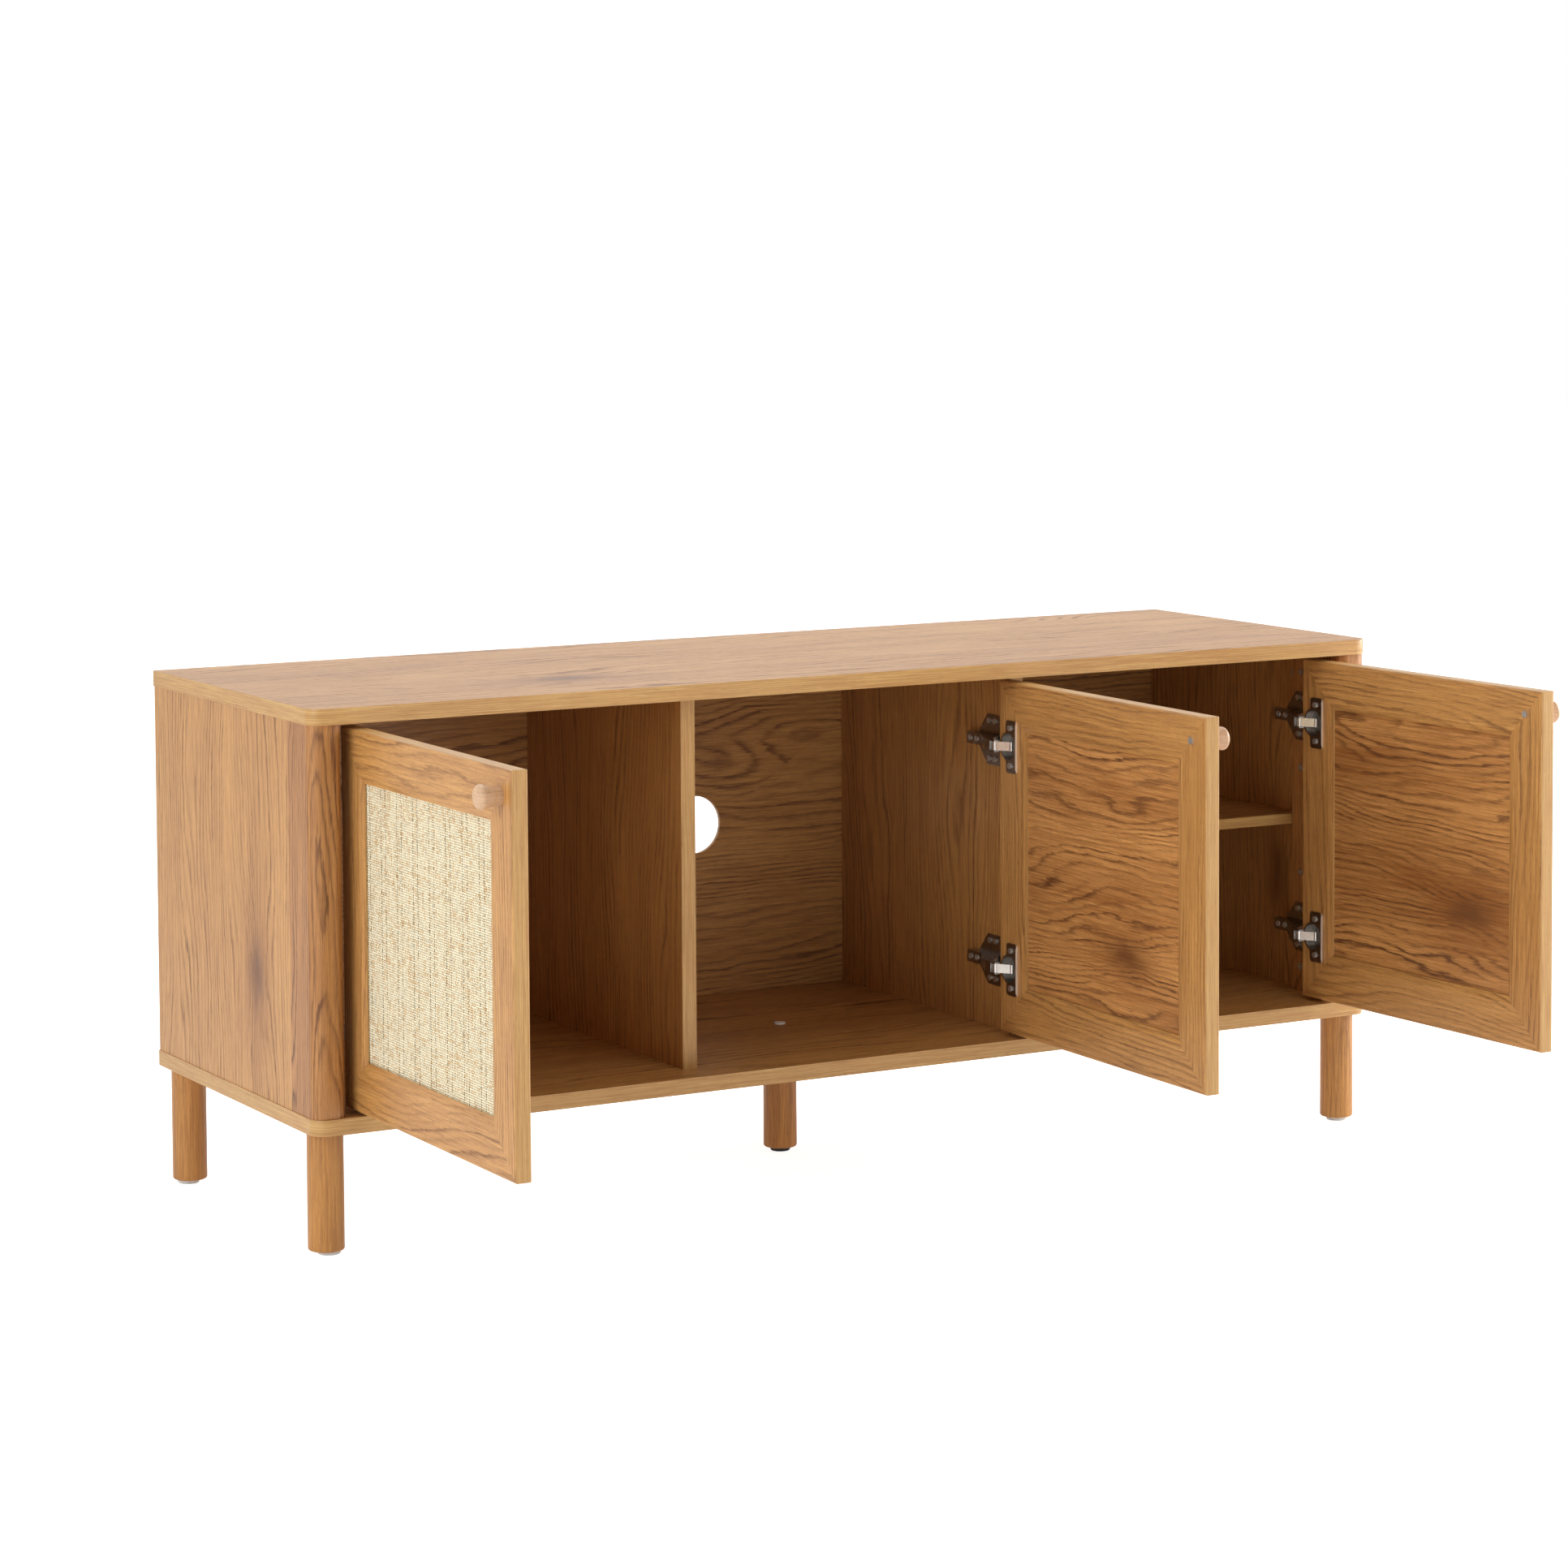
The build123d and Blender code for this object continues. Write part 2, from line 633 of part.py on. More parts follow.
def make_posts():
    """Corner posts: a thick rounded front and a tongue that laps behind the side panel."""
    outline = Polygon(
        (post_in, face_y),
        (side_out, face_y),
        (side_out, seam_y),
        (side_in, seam_y),
        (side_in, tongue_y),
        (post_in, tongue_y),
        align=None,
    )
    front = outline.vertices().sort_by(Axis.Y)[:2].sort_by(Axis.X)
    outline = fillet(front[1], post_outer_radius)
    inner = outline.vertices().sort_by(Axis.X)[:2].sort_by(Axis.Y)[0]
    outline = fillet(inner, post_inner_radius)
    for hand, name in ((-1, "left"), (1, "right")):
        post = mirrored(Pos(0, 0, deck_z) * extrude(outline, ceiling_z - deck_z), hand)
        for bore in post_screw_bores(hand) + joinery_cuts(hand * post_centre_x):
            post -= bore
        for z in hinge_z:
            for bore in plate_screws(post_in, z, bore_slack):
                post -= mirrored(bore, hand)
        save(f"corner_post_{name}", post)


def make_dividers():
    for hand, name in ((-1, "left"), (1, "right")):
        x = hand * divider_x
        panel = block(x - board / 2, x + board / 2, divider_front_y, back_front_y, deck_z, ceiling_z)
        for bore in joinery_cuts(x):
            panel -= bore
        if hand > 0:
            for bore in shelf_pin_bores:
                panel -= bore
            for z in hinge_z:
                for bore in plate_screws(doors["middle"][2], z, bore_slack):
                    panel -= bore
        save(f"divider_{name}", panel)


def make_back_and_shelf():
    reach = side_in + groove_depth
    y1 = back_front_y + back_thickness
    back = block(-reach, reach, back_front_y, y1, deck_z - groove_depth, ceiling_z + groove_depth)
    save("back_panel", back - rod_y(cable_hole_diameter, 0, back_front_y - 1, y1 + 1, middle_z))
    shelf_back = back_front_y - 1.0
    save("shelf", block(shelf_x0, shelf_x1, shelf_front_y, shelf_back, shelf_z, shelf_z + shelf_thickness))
    save("shelf_pins", *shelf_pins)


def make_joinery():
    save("panel_dowels", *[dowel(x, y, top) for x, y in dowel_places for top in (True, False)])
    save("cam_locks", *[parts[0] for parts in cam_sets.values()])
    save("cam_bolts", *[parts[1] for parts in cam_sets.values()])
    save("deck_screws", *[deck_screw(x, y) for x, y in deck_screw_places])
    save("post_screws", *[post_screw(hand, z) for hand in (-1, 1) for z in post_screw_heights])


# ---------------------------------------------------------------- legs and feet
def make_legs():
    bolts, inserts, glides = [], [], []
    bolt_top = slab_z + insert_length - 1.0
    offsets = {name: (dx, dy) for name, dx, dy in glide_offsets}
    for name, (x, y) in leg_places.items():
        leg = rod_z(leg_diameter, x, y, glide_height, slab_z)
        leg = fillet(leg.edges().filter_by(GeomType.CIRCLE).sort_by(Axis.Z)[0], leg_edge_radius)
        leg -= rod_z(leg_bolt_diameter + 2 * bore_slack, x, y, slab_z - leg_bolt_depth - bore_slack, slab_z + 1)
        if name == "centre":
            stud_room = leveller_stud_length + bore_slack
            leg -= rod_z(leg_bolt_diameter + 2 * running_slack, x, y, 0, glide_height + stud_room)
            bolts.append(rod_z(leg_bolt_diameter, x, y, slab_z - leg_bolt_depth, deck_z))
        else:
            gx, gy = x + offsets[name][0], y + offsets[name][1]
            nail_top = glide_height + glide_nail_length
            leg -= rod_z(glide_nail_diameter + 2 * bore_slack, gx, gy, 0, nail_top + bore_slack)
            bolts.append(rod_z(leg_bolt_diameter, x, y, slab_z - leg_bolt_depth, bolt_top))
            insert = rod_z(insert_diameter, x, y, slab_z, slab_z + insert_length)
            inserts.append(insert - rod_z(leg_bolt_diameter + 2 * bore_slack, x, y, slab_z - 1, bolt_top + 0.5))
            glide = rod_z(glide_diameter, gx, gy, 0, glide_height)
            glide = fillet(glide.edges().filter_by(GeomType.CIRCLE).sort_by(Axis.Z)[0], 1.5)
            glides.append(glide + rod_z(glide_nail_diameter, gx, gy, glide_height / 2, nail_top))
        save(f"leg_{name}", leg)
    save("leg_bolts", *bolts)
    save("leg_inserts", *inserts)
    save("leg_glides", *glides)
    cx, cy = leg_places["centre"]
    cap = rod_z(leg_cap_diameter, cx, cy, deck_z, deck_z + leg_cap_height)
    save("centre_bolt_cap", fillet(cap.edges().filter_by(GeomType.CIRCLE).sort_by(Axis.Z)[-1], 0.9))
    foot_gap = 0.4
    foot = Pos(cx, cy, (glide_height - foot_gap) / 2) * Cone(
        leveller_foot_diameter / 2, leveller_diameter / 2, glide_height - foot_gap
    )
    stud = rod_z(leg_bolt_diameter, cx, cy, glide_height / 2, glide_height + leveller_stud_length - 1.0)
    save("centre_leveller", foot + stud)


# ---------------------------------------------------------------- doors and their hinges
def make_doors():
    pieces = door_pieces()
    plates, screws, arms, adjusters, pins = [], [], [], [], []
    for name, (hand, edge, face) in doors.items():
        edge_x, face_x = abs(edge) if hand < 0 else edge, abs(face) if hand < 0 else face
        turn = rest_turn[name]
        for piece, solids in pieces.items():
            placed = [turned(Pos(edge_x, 0, 0) * s, edge_x, pivot_u, pivot_v, turn) for s in solids]
            save(f"door_{name}_{piece}", *[mirrored(s, hand) for s in placed])
        link_turn = link_ratio * (turn - 90.0)
        links = [turned(hinge_link(edge_x, z), edge_x, link_pin_u, link_pin_v, link_turn) for z in hinge_z]
        save(f"door_{name}_hinge_links", *[mirrored(s, hand) for s in links])
        for z in hinge_z:
            plates.append(mirrored(mounting_plate(face_x, z), hand))
            screws += [mirrored(s, hand) for s in plate_screws(face_x, z)]
            arms.append(mirrored(hinge_arm(edge_x, face_x, z), hand))
            adjusters += [mirrored(s, hand) for s in arm_screws(edge_x, face_x, z)]
            pins.append(mirrored(link_pin(edge_x, z), hand))
    save("hinge_plates", *plates)
    save("hinge_plate_screws", *screws)
    save("hinge_arms", *arms)
    save("hinge_arm_screws", *adjusters)
    save("hinge_link_pins", *pins)


make_slabs()
make_sides()
make_posts()
make_dividers()
make_back_and_shelf()
make_joinery()
make_legs()
make_doors()

for door, (hand, edge, _) in doors.items():
    print(door, "door axis at", round(edge - hand * pivot_u, 3), round(pivot_y, 3))
    print(door, "link axis at", round(edge - hand * link_pin_u, 3), round(face_y + link_pin_v, 3))
print("door", round(door_width, 2), "x", round(door_height, 2), "hinges at", hinge_z)
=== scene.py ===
"""Media cabinet: oak foil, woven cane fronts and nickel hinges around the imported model.

Laid out as an add-on: sizes and colours are properties, each group of pieces has an
operator, and the panel in the sidebar lists them. main() runs every operator in order.
Lengths are metres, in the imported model's frame: the doors face -Y, +Z is up and the
origin is on the floor under the middle of the carcass.
"""

import json
import math

import bpy
import numpy as np
from mathutils import Matrix, Vector


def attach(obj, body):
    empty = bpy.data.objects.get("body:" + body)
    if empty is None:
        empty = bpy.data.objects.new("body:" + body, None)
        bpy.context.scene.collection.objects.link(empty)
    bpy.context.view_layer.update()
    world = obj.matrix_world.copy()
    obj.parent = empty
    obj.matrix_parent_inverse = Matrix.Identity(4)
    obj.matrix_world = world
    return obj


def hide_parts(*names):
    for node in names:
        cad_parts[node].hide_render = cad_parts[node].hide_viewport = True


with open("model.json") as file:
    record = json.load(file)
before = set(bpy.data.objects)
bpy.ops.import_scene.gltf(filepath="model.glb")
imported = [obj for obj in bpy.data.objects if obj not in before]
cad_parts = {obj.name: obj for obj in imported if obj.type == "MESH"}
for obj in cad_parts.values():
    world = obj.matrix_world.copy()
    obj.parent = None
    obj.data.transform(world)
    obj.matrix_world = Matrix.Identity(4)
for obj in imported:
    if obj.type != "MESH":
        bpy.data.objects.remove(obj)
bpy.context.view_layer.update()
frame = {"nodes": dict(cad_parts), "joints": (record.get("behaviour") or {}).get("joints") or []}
NODES = frame["nodes"]
JOINTS = {joint["name"]: joint for joint in frame["joints"]}
DOORS = ("left", "middle", "right")


def figure(rings, wander, lines, streaks, pores, patches, knots=0.0):
    """One cut of wood: rings per metre, how far they wander in metres, and the strength of
    the ring lines, streaks, pores, slow patches and scattered knots."""
    return {
        "rings": rings, "figure": wander, "lines": lines, "streaks": streaks,
        "pores": pores, "patches": patches, "knots": knots,
    }


WIDE_BOARD = figure(100.0, 0.17, 1.0, 1.0, 0.7, 1.5, 0.8)
TALL_BOARD = figure(110.0, 0.14, 0.85, 0.9, 0.6, 1.3, 0.3)
CORNER_POST = figure(120.0, 0.17, 1.4, 0.9, 0.7, 1.0, 0.6)
DOOR_MEMBER = figure(125.0, 0.13, 0.75, 0.9, 0.7, 1.2, 0.2)
DOOR_BOARD = figure(92.0, 0.24, 1.3, 0.9, 0.7, 2.0)
EDGE_BAND = figure(420.0, 0.006, 0.62, 0.9, 0.55, 0.35)
LEG_WOOD = figure(230.0, 0.03, 0.35, 1.0, 0.5, 0.9)
KNOB_WOOD = figure(260.0, 0.03, 0.30, 0.8, 0.35, 0.8)
DOWEL_WOOD = figure(200.0, 0.02, 0.5, 0.5, 0.5, 0.5)

# One growth ring, as (place across it, darkness). The last ring's line fades fast, then the
# wood stays pale, darkens slowly and ends in a sharp line.
RING_STOPS = [
    (0.0, 0.45), (0.10, 0.05), (0.45, 0.0), (0.66, 0.22), (0.84, 0.9), (0.94, 1.0), (1.0, 0.45)
]
# A board's large knot. Distance from its centre is counted per metre along and across the
# grain, and the exponents say how fast its swelling and its dark heart die away with it.
KNOT_STRETCH = (13.0, 27.0, 0.0)
KNOT_REACH = -0.65
KNOT_HEART = -4.5
KNOT_BEND = 3.2
NO_KNOT = (50.0, 50.0, 0.0)
# Scattered small knots: the draw a cell needs to hold one, and how far each part reaches.
SMALL_KNOT_DRAW = 0.55
SMALL_KNOT_REACH, SMALL_KNOT_CORE = 0.38, 0.15
SMALL_KNOT_BEND = 7.0

# How squarely a normal points through the board: all face above the first, all edge below
# the second.
FACE_NORMAL, EDGE_NORMAL = 0.92, 0.60
OAK_SPECULAR = 0.45
MERGE_DISTANCE = 1e-6
FLAT_ANGLE = math.radians(0.6)
ROUNDED_ANGLE = math.radians(50)

# The weave: crossings in one tint along a strand, and how the painted shade falls in the rows of
# small holes.
WEFT_DASH, WARP_DASH = 6, 8
SECOND_GAP, SECOND_SHARE = 4, 0.8
WIDE_STEP = 1.2
HOLE_SHADE_GAIN, HOLE_SHADE_CUT = 2.2, 1.0

FLOOR_REACH, FLOOR_DROP = 14.0, 0.0004
CABINET_AIM = (0.0, -0.2, 0.35)

bl_info = {
    "name": "Cane-front media cabinet",
    "version": (1, 0, 0),
    "blender": (4, 5, 0),
    "location": "View3D > Sidebar > Cabinet",
    "description": "Finishes a three-door media cabinet: oak grain, woven fronts, hinges and stage",
    "category": "Object",
}


# ------------------------------------------------------------------ settings
def colour(name, description, default):
    """A colour setting, linear red, green and blue."""
    return bpy.props.FloatVectorProperty(
        name=name, description=description, subtype="COLOR", size=3, min=0, max=1, default=default
    )


def length(name, description, default):
    """A length setting in metres."""
    return bpy.props.FloatProperty(
        name=name, description=description, subtype="DISTANCE", unit="LENGTH", precision=5,
        default=default,
    )


def amount(name, description, default):
    """A plain number that can't be negative."""
    return bpy.props.FloatProperty(name=name, description=description, min=0, default=default)


class CabinetOakSettings(bpy.types.PropertyGroup):
    """Colours and figure of the oak foil."""

    light: colour("Light wood", "Early wood of the oak foil", (0.615, 0.316, 0.096))
    dark: colour("Dark wood", "Darker patches of the oak foil", (0.390, 0.172, 0.046))
    line: colour("Ring lines", "Late wood and pores", (0.150, 0.055, 0.016))
    edge_light: colour("Edge band", "Light part of the edge banding", (0.600, 0.370, 0.130))
    edge_line: colour("Edge band lines", "Fine lines in the edge banding", (0.300, 0.140, 0.045))
    panel_light: colour("Inner board", "Light part of the doors' boards", (0.650, 0.315, 0.099))
    panel_dark: colour("Inner board, dark", "Dark part of those boards", (0.320, 0.118, 0.029))
    post_light: colour("Post", "Light part of the corner posts", (0.510, 0.235, 0.068))
    post_dark: colour("Post, dark", "Dark part of the corner posts", (0.310, 0.122, 0.032))
    edge_round: length("Edge rounding", "Rounding of the boards' edges", 0.0008)
    bump: length("Grain depth", "Depth of the pressed grain", 0.00025)


class CabinetWeaveSettings(bpy.types.PropertyGroup):
    """The woven cane on the door fronts."""

    weft_pitch: length("Weft pitch", "Height of one row", 0.0026)
    weft_width: length("Weft width", "Width of a row's strand", 0.0020)
    warp_pitch: length("Warp pitch", "Distance between upright strands", 0.0026)
    warp_width: length("Warp width", "Width of an upright strand", 0.0019)
    repeat: bpy.props.IntProperty(
        name="Repeat", description="Upright strands from gap to gap", default=15
    )
    gap: length("Gap", "Extra room at each gap, which shows as a line of small holes", 0.0014)
    strand: length("Strand thickness", "Thickness of a strand", 0.00045)
    pale: colour("Pale strand", "Palest strands", (0.93, 0.83, 0.60))
    tan: colour("Tan strand", "Darkest strands", (0.72, 0.50, 0.26))
    grey: colour("Grey strand", "Greyish strands", (0.70, 0.64, 0.47))
    # Painted shade: the dark colour put on a strand where it dips into a gap, standing in for the
    # shade there.
    painted_hole_shade: colour("Holes", "Shade inside the lines of small holes", (0.24, 0.17, 0.06))


class CabinetFittingSettings(bpy.types.PropertyGroup):
    """Knobs, legs and metal fittings."""

    knob: colour("Knob wood", "Pale turned wood of the knobs", (0.68, 0.415, 0.235))
    leg_light: colour("Leg wood", "Light part of the legs", (0.560, 0.262, 0.062))
    leg_dark: colour("Leg wood, dark", "Dark part of the legs", (0.350, 0.140, 0.030))
    nickel: colour("Nickel", "Dark nickel of arms, plates and cups", (0.36, 0.33, 0.30))
    bright: colour("Bright metal", "Links, rims and screw heads", (0.80, 0.78, 0.74))
    zinc: colour("Zinc", "Zinc plate on hidden fittings", (0.74, 0.73, 0.71))
    glide: colour("Glide", "Pale nylon glides", (0.66, 0.65, 0.62))
    foot: colour("Levelling foot", "Black nylon foot", (0.012, 0.012, 0.013))
    cap: colour("Cap", "Small cap over the centre bolt", (0.80, 0.78, 0.74))


class CabinetStageSettings(bpy.types.PropertyGroup):
    """Camera, lights and floor."""

    camera: bpy.props.FloatVectorProperty(
        name="Camera", description="Place of the camera", subtype="XYZ", unit="LENGTH", size=3,
        default=(-2.4959, -4.4854, 1.1336),
    )
    turn: bpy.props.FloatVectorProperty(
        name="Camera turn", description="Heading, downward tilt and roll, in radians", size=3,
        default=(0.5096, 0.0653, -0.0060),
    )
    lens: amount("Lens", "Focal length on a 36 mm sensor", 99.25)
    shift: bpy.props.FloatProperty(
        name="Shift", description="Upward shift of the view", default=-0.1894
    )
    room_front: amount("Room light, front", "Strength of the even light from the front half", 0.23)
    room_back: amount("Room light, back", "Strength of the even light from the back half", 1.05)
    paper: amount("Floor light", "Light given off by the floor paper", 0.2)
    side_light: amount("Side light", "Watts of the softbox at the left", 60.0)
    top_light: amount("Top light", "Watts of the softbox overhead", 30.0)
    front_light: amount("Front light", "Watts of the softbox in front", 38.0)
    right_light: amount("Right light", "Watts of the softbox at the right", 185.0)


# ------------------------------------------------------------------ node helpers
def add(tree, kind, inputs=(), **settings):
    """A node with its settings; inputs maps a socket's name or number to a value or a link."""
    node = tree.nodes.new("ShaderNode" + kind)
    for key, value in settings.items():
        setattr(node, key, value)
    for key, value in dict(inputs).items():
        if isinstance(value, bpy.types.NodeSocket):
            tree.links.new(value, node.inputs[key])
        else:
            node.inputs[key].default_value = value
    return node


def calc(tree, operation, *values, clamp=False):
    """One arithmetic step."""
    inputs = dict(enumerate(values))
    return add(tree, "Math", inputs, operation=operation, use_clamp=clamp).outputs[0]


def scaled(tree, vector, scale):
    """A vector times a fixed scale along each axis."""
    return add(tree, "VectorMath", {0: vector, 1: scale}, operation="MULTIPLY").outputs[0]


def noise(tree, vector, scale, detail=2.0, roughness=0.5):
    """Noise, 0 to 1, on a stretched copy of the vector."""
    place = scaled(tree, vector, scale)
    inputs = {"Vector": place, "Scale": 1.0, "Detail": detail, "Roughness": roughness}
    return add(tree, "TexNoise", inputs).outputs["Fac"]


def ramp(tree, value, stops):
    """A grey ramp through (place, brightness) stops."""
    node = add(tree, "ValToRGB", {0: value})
    elements = node.color_ramp.elements
    while len(elements) < len(stops):
        elements.new(0.5)
    for element, (place, level) in zip(elements, stops):
        element.position = place
        element.color = (level, level, level, 1)
    return node.outputs["Color"]


def blend_colour(tree, factor, a, b):
    """Colour a where the factor is 0 and b where it is 1."""
    return add(tree, "Mix", {0: factor, 6: a, 7: b}, data_type="RGBA").outputs[2]


def blend_value(tree, factor, a, b):
    """Value a where the factor is 0 and b where it is 1."""
    return add(tree, "Mix", {0: factor, 2: a, 3: b}, data_type="FLOAT").outputs[0]


def new_group(name, inputs, outputs):
    """A shader node group with named sockets: (name, kind, default)."""
    tree = bpy.data.node_groups.new(name, "ShaderNodeTree")
    for label, kind, default in inputs:
        socket = tree.interface.new_socket(label, in_out="INPUT", socket_type="NodeSocket" + kind)
        if default is not None:
            socket.default_value = default
    for label, kind in outputs:
        tree.interface.new_socket(label, in_out="OUTPUT", socket_type="NodeSocket" + kind)
    start, end = tree.nodes.new("NodeGroupInput"), tree.nodes.new("NodeGroupOutput")
    return tree, start.outputs, end.inputs


def rgba(values):
    """A colour with full alpha, as sockets want it."""
    return (*values, 1.0)


def grain_group():
    """Oak figure. X runs along the grain and Y across it.

    Rings are the whole-number steps of (Y + slow noise) times the rings per metre, so they
    close into arches where the noise outruns Y. Each ring darkens slowly and ends sharply.
    Knots push the rings aside and darken; pores are noise stretched along the grain.
    """
    if "oak grain" in bpy.data.node_groups:
        return bpy.data.node_groups["oak grain"]
    tree, start, end = new_group(
        "oak grain",
        [
            ("Vector", "Vector", None),
            ("Rings", "Float", 90.0),
            ("Figure", "Float", 0.1),
            ("Lines", "Float", 0.5),
            ("Streaks", "Float", 0.5),
            ("Pores", "Float", 0.5),
            ("Patches", "Float", 0.5),
            ("Knots", "Float", 0.0),
            ("Knot", "Vector", NO_KNOT),
            ("Light", "Color", None),
            ("Dark", "Color", None),
            ("Line", "Color", None),
        ],
        [("Color", "Color"), ("Roughness", "Float"), ("Height", "Float")],
    )
    place = start["Vector"]
    sway = calc(tree, "SUBTRACT", noise(tree, place, (1.7, 7.0, 7.0), 1.6, 0.45), 0.5)
    ripple = calc(tree, "SUBTRACT", noise(tree, place, (9.0, 34.0, 34.0), 2.0), 0.5)
    hair = calc(tree, "SUBTRACT", noise(tree, place, (34.0, 560.0, 560.0), 2.5, 0.6), 0.5)
    axes = add(tree, "SeparateXYZ", {0: place}).outputs

    cells = add(
        tree, "TexVoronoi",
        {"Vector": scaled(tree, place, (2.3, 4.6, 0.0)), "Scale": 1.0, "Randomness": 0.85},
        voronoi_dimensions="3D",
    )
    draw = add(tree, "SeparateXYZ", {0: cells.outputs["Color"]}).outputs[0]
    chosen = calc(tree, "GREATER_THAN", draw, SMALL_KNOT_DRAW)
    chosen = calc(tree, "MULTIPLY", chosen, start["Knots"])
    distance = cells.outputs["Distance"]
    near, core = (
        add(
            tree, "MapRange", {"Value": distance, "From Min": reach, "From Max": 0.0},
            interpolation_type="SMOOTHSTEP",
        ).outputs[0]
        for reach in (SMALL_KNOT_REACH, SMALL_KNOT_CORE)
    )
    bend = calc(tree, "MULTIPLY", calc(tree, "MULTIPLY", near, chosen), SMALL_KNOT_BEND)
    from_knot = add(tree, "VectorMath", {0: place, 1: start["Knot"]}, operation="SUBTRACT")
    from_knot = from_knot.outputs[0]
    stretched = scaled(tree, from_knot, KNOT_STRETCH)
    away = add(tree, "VectorMath", {0: stretched}, operation="LENGTH").outputs["Value"]
    ragged = noise(tree, place, (30.0, 120.0, 120.0), 2.0)
    away = calc(tree, "MULTIPLY_ADD", ragged, 0.5, calc(tree, "SUBTRACT", away, 0.25))
    squared = calc(tree, "MULTIPLY", away, away)
    swell = calc(tree, "EXPONENT", calc(tree, "MULTIPLY", squared, KNOT_REACH))
    heart = calc(tree, "EXPONENT", calc(tree, "MULTIPLY", squared, KNOT_HEART))
    beside = add(tree, "SeparateXYZ", {0: scaled(tree, from_knot, (0.0, 60.0, 0.0))}).outputs[1]
    beside = calc(tree, "MULTIPLY", calc(tree, "TANH", beside), KNOT_BEND)
    bend = calc(tree, "MULTIPLY_ADD", swell, beside, bend)

    wander = start["Figure"]
    across = calc(tree, "MULTIPLY_ADD", sway, wander, axes[1])
    across = calc(tree, "MULTIPLY_ADD", ripple, calc(tree, "MULTIPLY", wander, 0.10), across)
    rings = calc(tree, "MULTIPLY_ADD", across, start["Rings"], bend)
    rings = calc(tree, "MULTIPLY_ADD", hair, 0.75, rings)
    late = ramp(tree, calc(tree, "FRACT", rings), RING_STOPS)
    number = calc(tree, "FLOOR", rings)
    each = add(tree, "TexWhiteNoise", {"W": number}, noise_dimensions="1D").outputs["Value"]
    each = calc(tree, "MULTIPLY_ADD", each, 0.6, 0.4)
    fade = ramp(tree, noise(tree, place, (5.0, 40.0, 40.0), 2.0), [(0.36, 0.25), (0.56, 1.0)])
    lines = calc(tree, "MULTIPLY", calc(tree, "MULTIPLY", late, fade), each)

    streak = noise(tree, place, (11.0, 380.0, 380.0), 3.5, 0.68)
    streak = ramp(tree, streak, [(0.28, 0.0), (0.72, 1.0)])
    pore = ramp(tree, noise(tree, place, (95.0, 1500.0, 1500.0), 1.5), [(0.52, 0.0), (0.66, 1.0)])
    pore = calc(tree, "MULTIPLY", pore, calc(tree, "MULTIPLY_ADD", lines, 0.65, 0.35))
    fine = ramp(tree, noise(tree, place, (20.0, 950.0, 950.0), 1.5), [(0.50, 0.0), (0.70, 1.0)])
    patch = noise(tree, place, (1.6, 9.0, 9.0), 2.5, 0.55)

    tone = calc(tree, "MULTIPLY_ADD", calc(tree, "SUBTRACT", patch, 0.5), start["Patches"], 0.42)
    tone = calc(tree, "MULTIPLY_ADD", calc(tree, "SUBTRACT", streak, 0.5), start["Streaks"], tone)
    tone = calc(tree, "MULTIPLY_ADD", calc(tree, "MULTIPLY", near, chosen), 0.30, tone)
    tone = calc(tree, "MULTIPLY_ADD", swell, 0.55, tone, clamp=True)
    shade = blend_colour(tree, tone, start["Light"], start["Dark"])
    knot = calc(tree, "MULTIPLY", calc(tree, "MULTIPLY", core, chosen), 0.75, clamp=True)
    for mark in (
        calc(tree, "MULTIPLY", lines, start["Lines"], clamp=True),
        calc(tree, "MULTIPLY", pore, start["Pores"], clamp=True),
        calc(tree, "MULTIPLY", calc(tree, "MULTIPLY", fine, start["Streaks"]), 0.42, clamp=True),
        calc(tree, "MULTIPLY_ADD", heart, 0.9, knot, clamp=True),
    ):
        shade = blend_colour(tree, mark, shade, start["Line"])
    tree.links.new(shade, end["Color"])
    rough = calc(tree, "MULTIPLY_ADD", pore, 0.12, 0.36)
    tree.links.new(calc(tree, "MULTIPLY_ADD", lines, 0.10, rough), end["Roughness"])
    depth = calc(tree, "MULTIPLY_ADD", lines, -0.45, calc(tree, "MULTIPLY", pore, -1.0))
    tree.links.new(calc(tree, "MULTIPLY_ADD", streak, 0.3, depth), end["Height"])
    return tree


def metal_group():
    """Plated metal: fine brushed noise in the roughness, and a slow drift in the colour."""
    if "plated metal" in bpy.data.node_groups:
        return bpy.data.node_groups["plated metal"]
    tree, start, end = new_group(
        "plated metal",
        [
            ("Vector", "Vector", None),
            ("Plate", "Color", None),
            ("Base roughness", "Float", 0.3),
            ("Stain", "Float", 0.3),
        ],
        [("Color", "Color"), ("Roughness", "Float"), ("Height", "Float")],
    )
    place = start["Vector"]
    drift = noise(tree, place, (60.0, 60.0, 60.0), 3.0)
    brush = noise(tree, place, (900.0, 900.0, 2600.0), 2.0)
    stain = calc(tree, "MULTIPLY", drift, start["Stain"])
    stained = blend_colour(tree, stain, start["Plate"], (0.02, 0.016, 0.013, 1))
    tree.links.new(stained, end["Color"])
    rough = calc(tree, "MULTIPLY_ADD", brush, 0.16, start["Base roughness"])
    tree.links.new(calc(tree, "MULTIPLY_ADD", drift, 0.08, rough), end["Roughness"])
    tree.links.new(brush, end["Height"])
    return tree


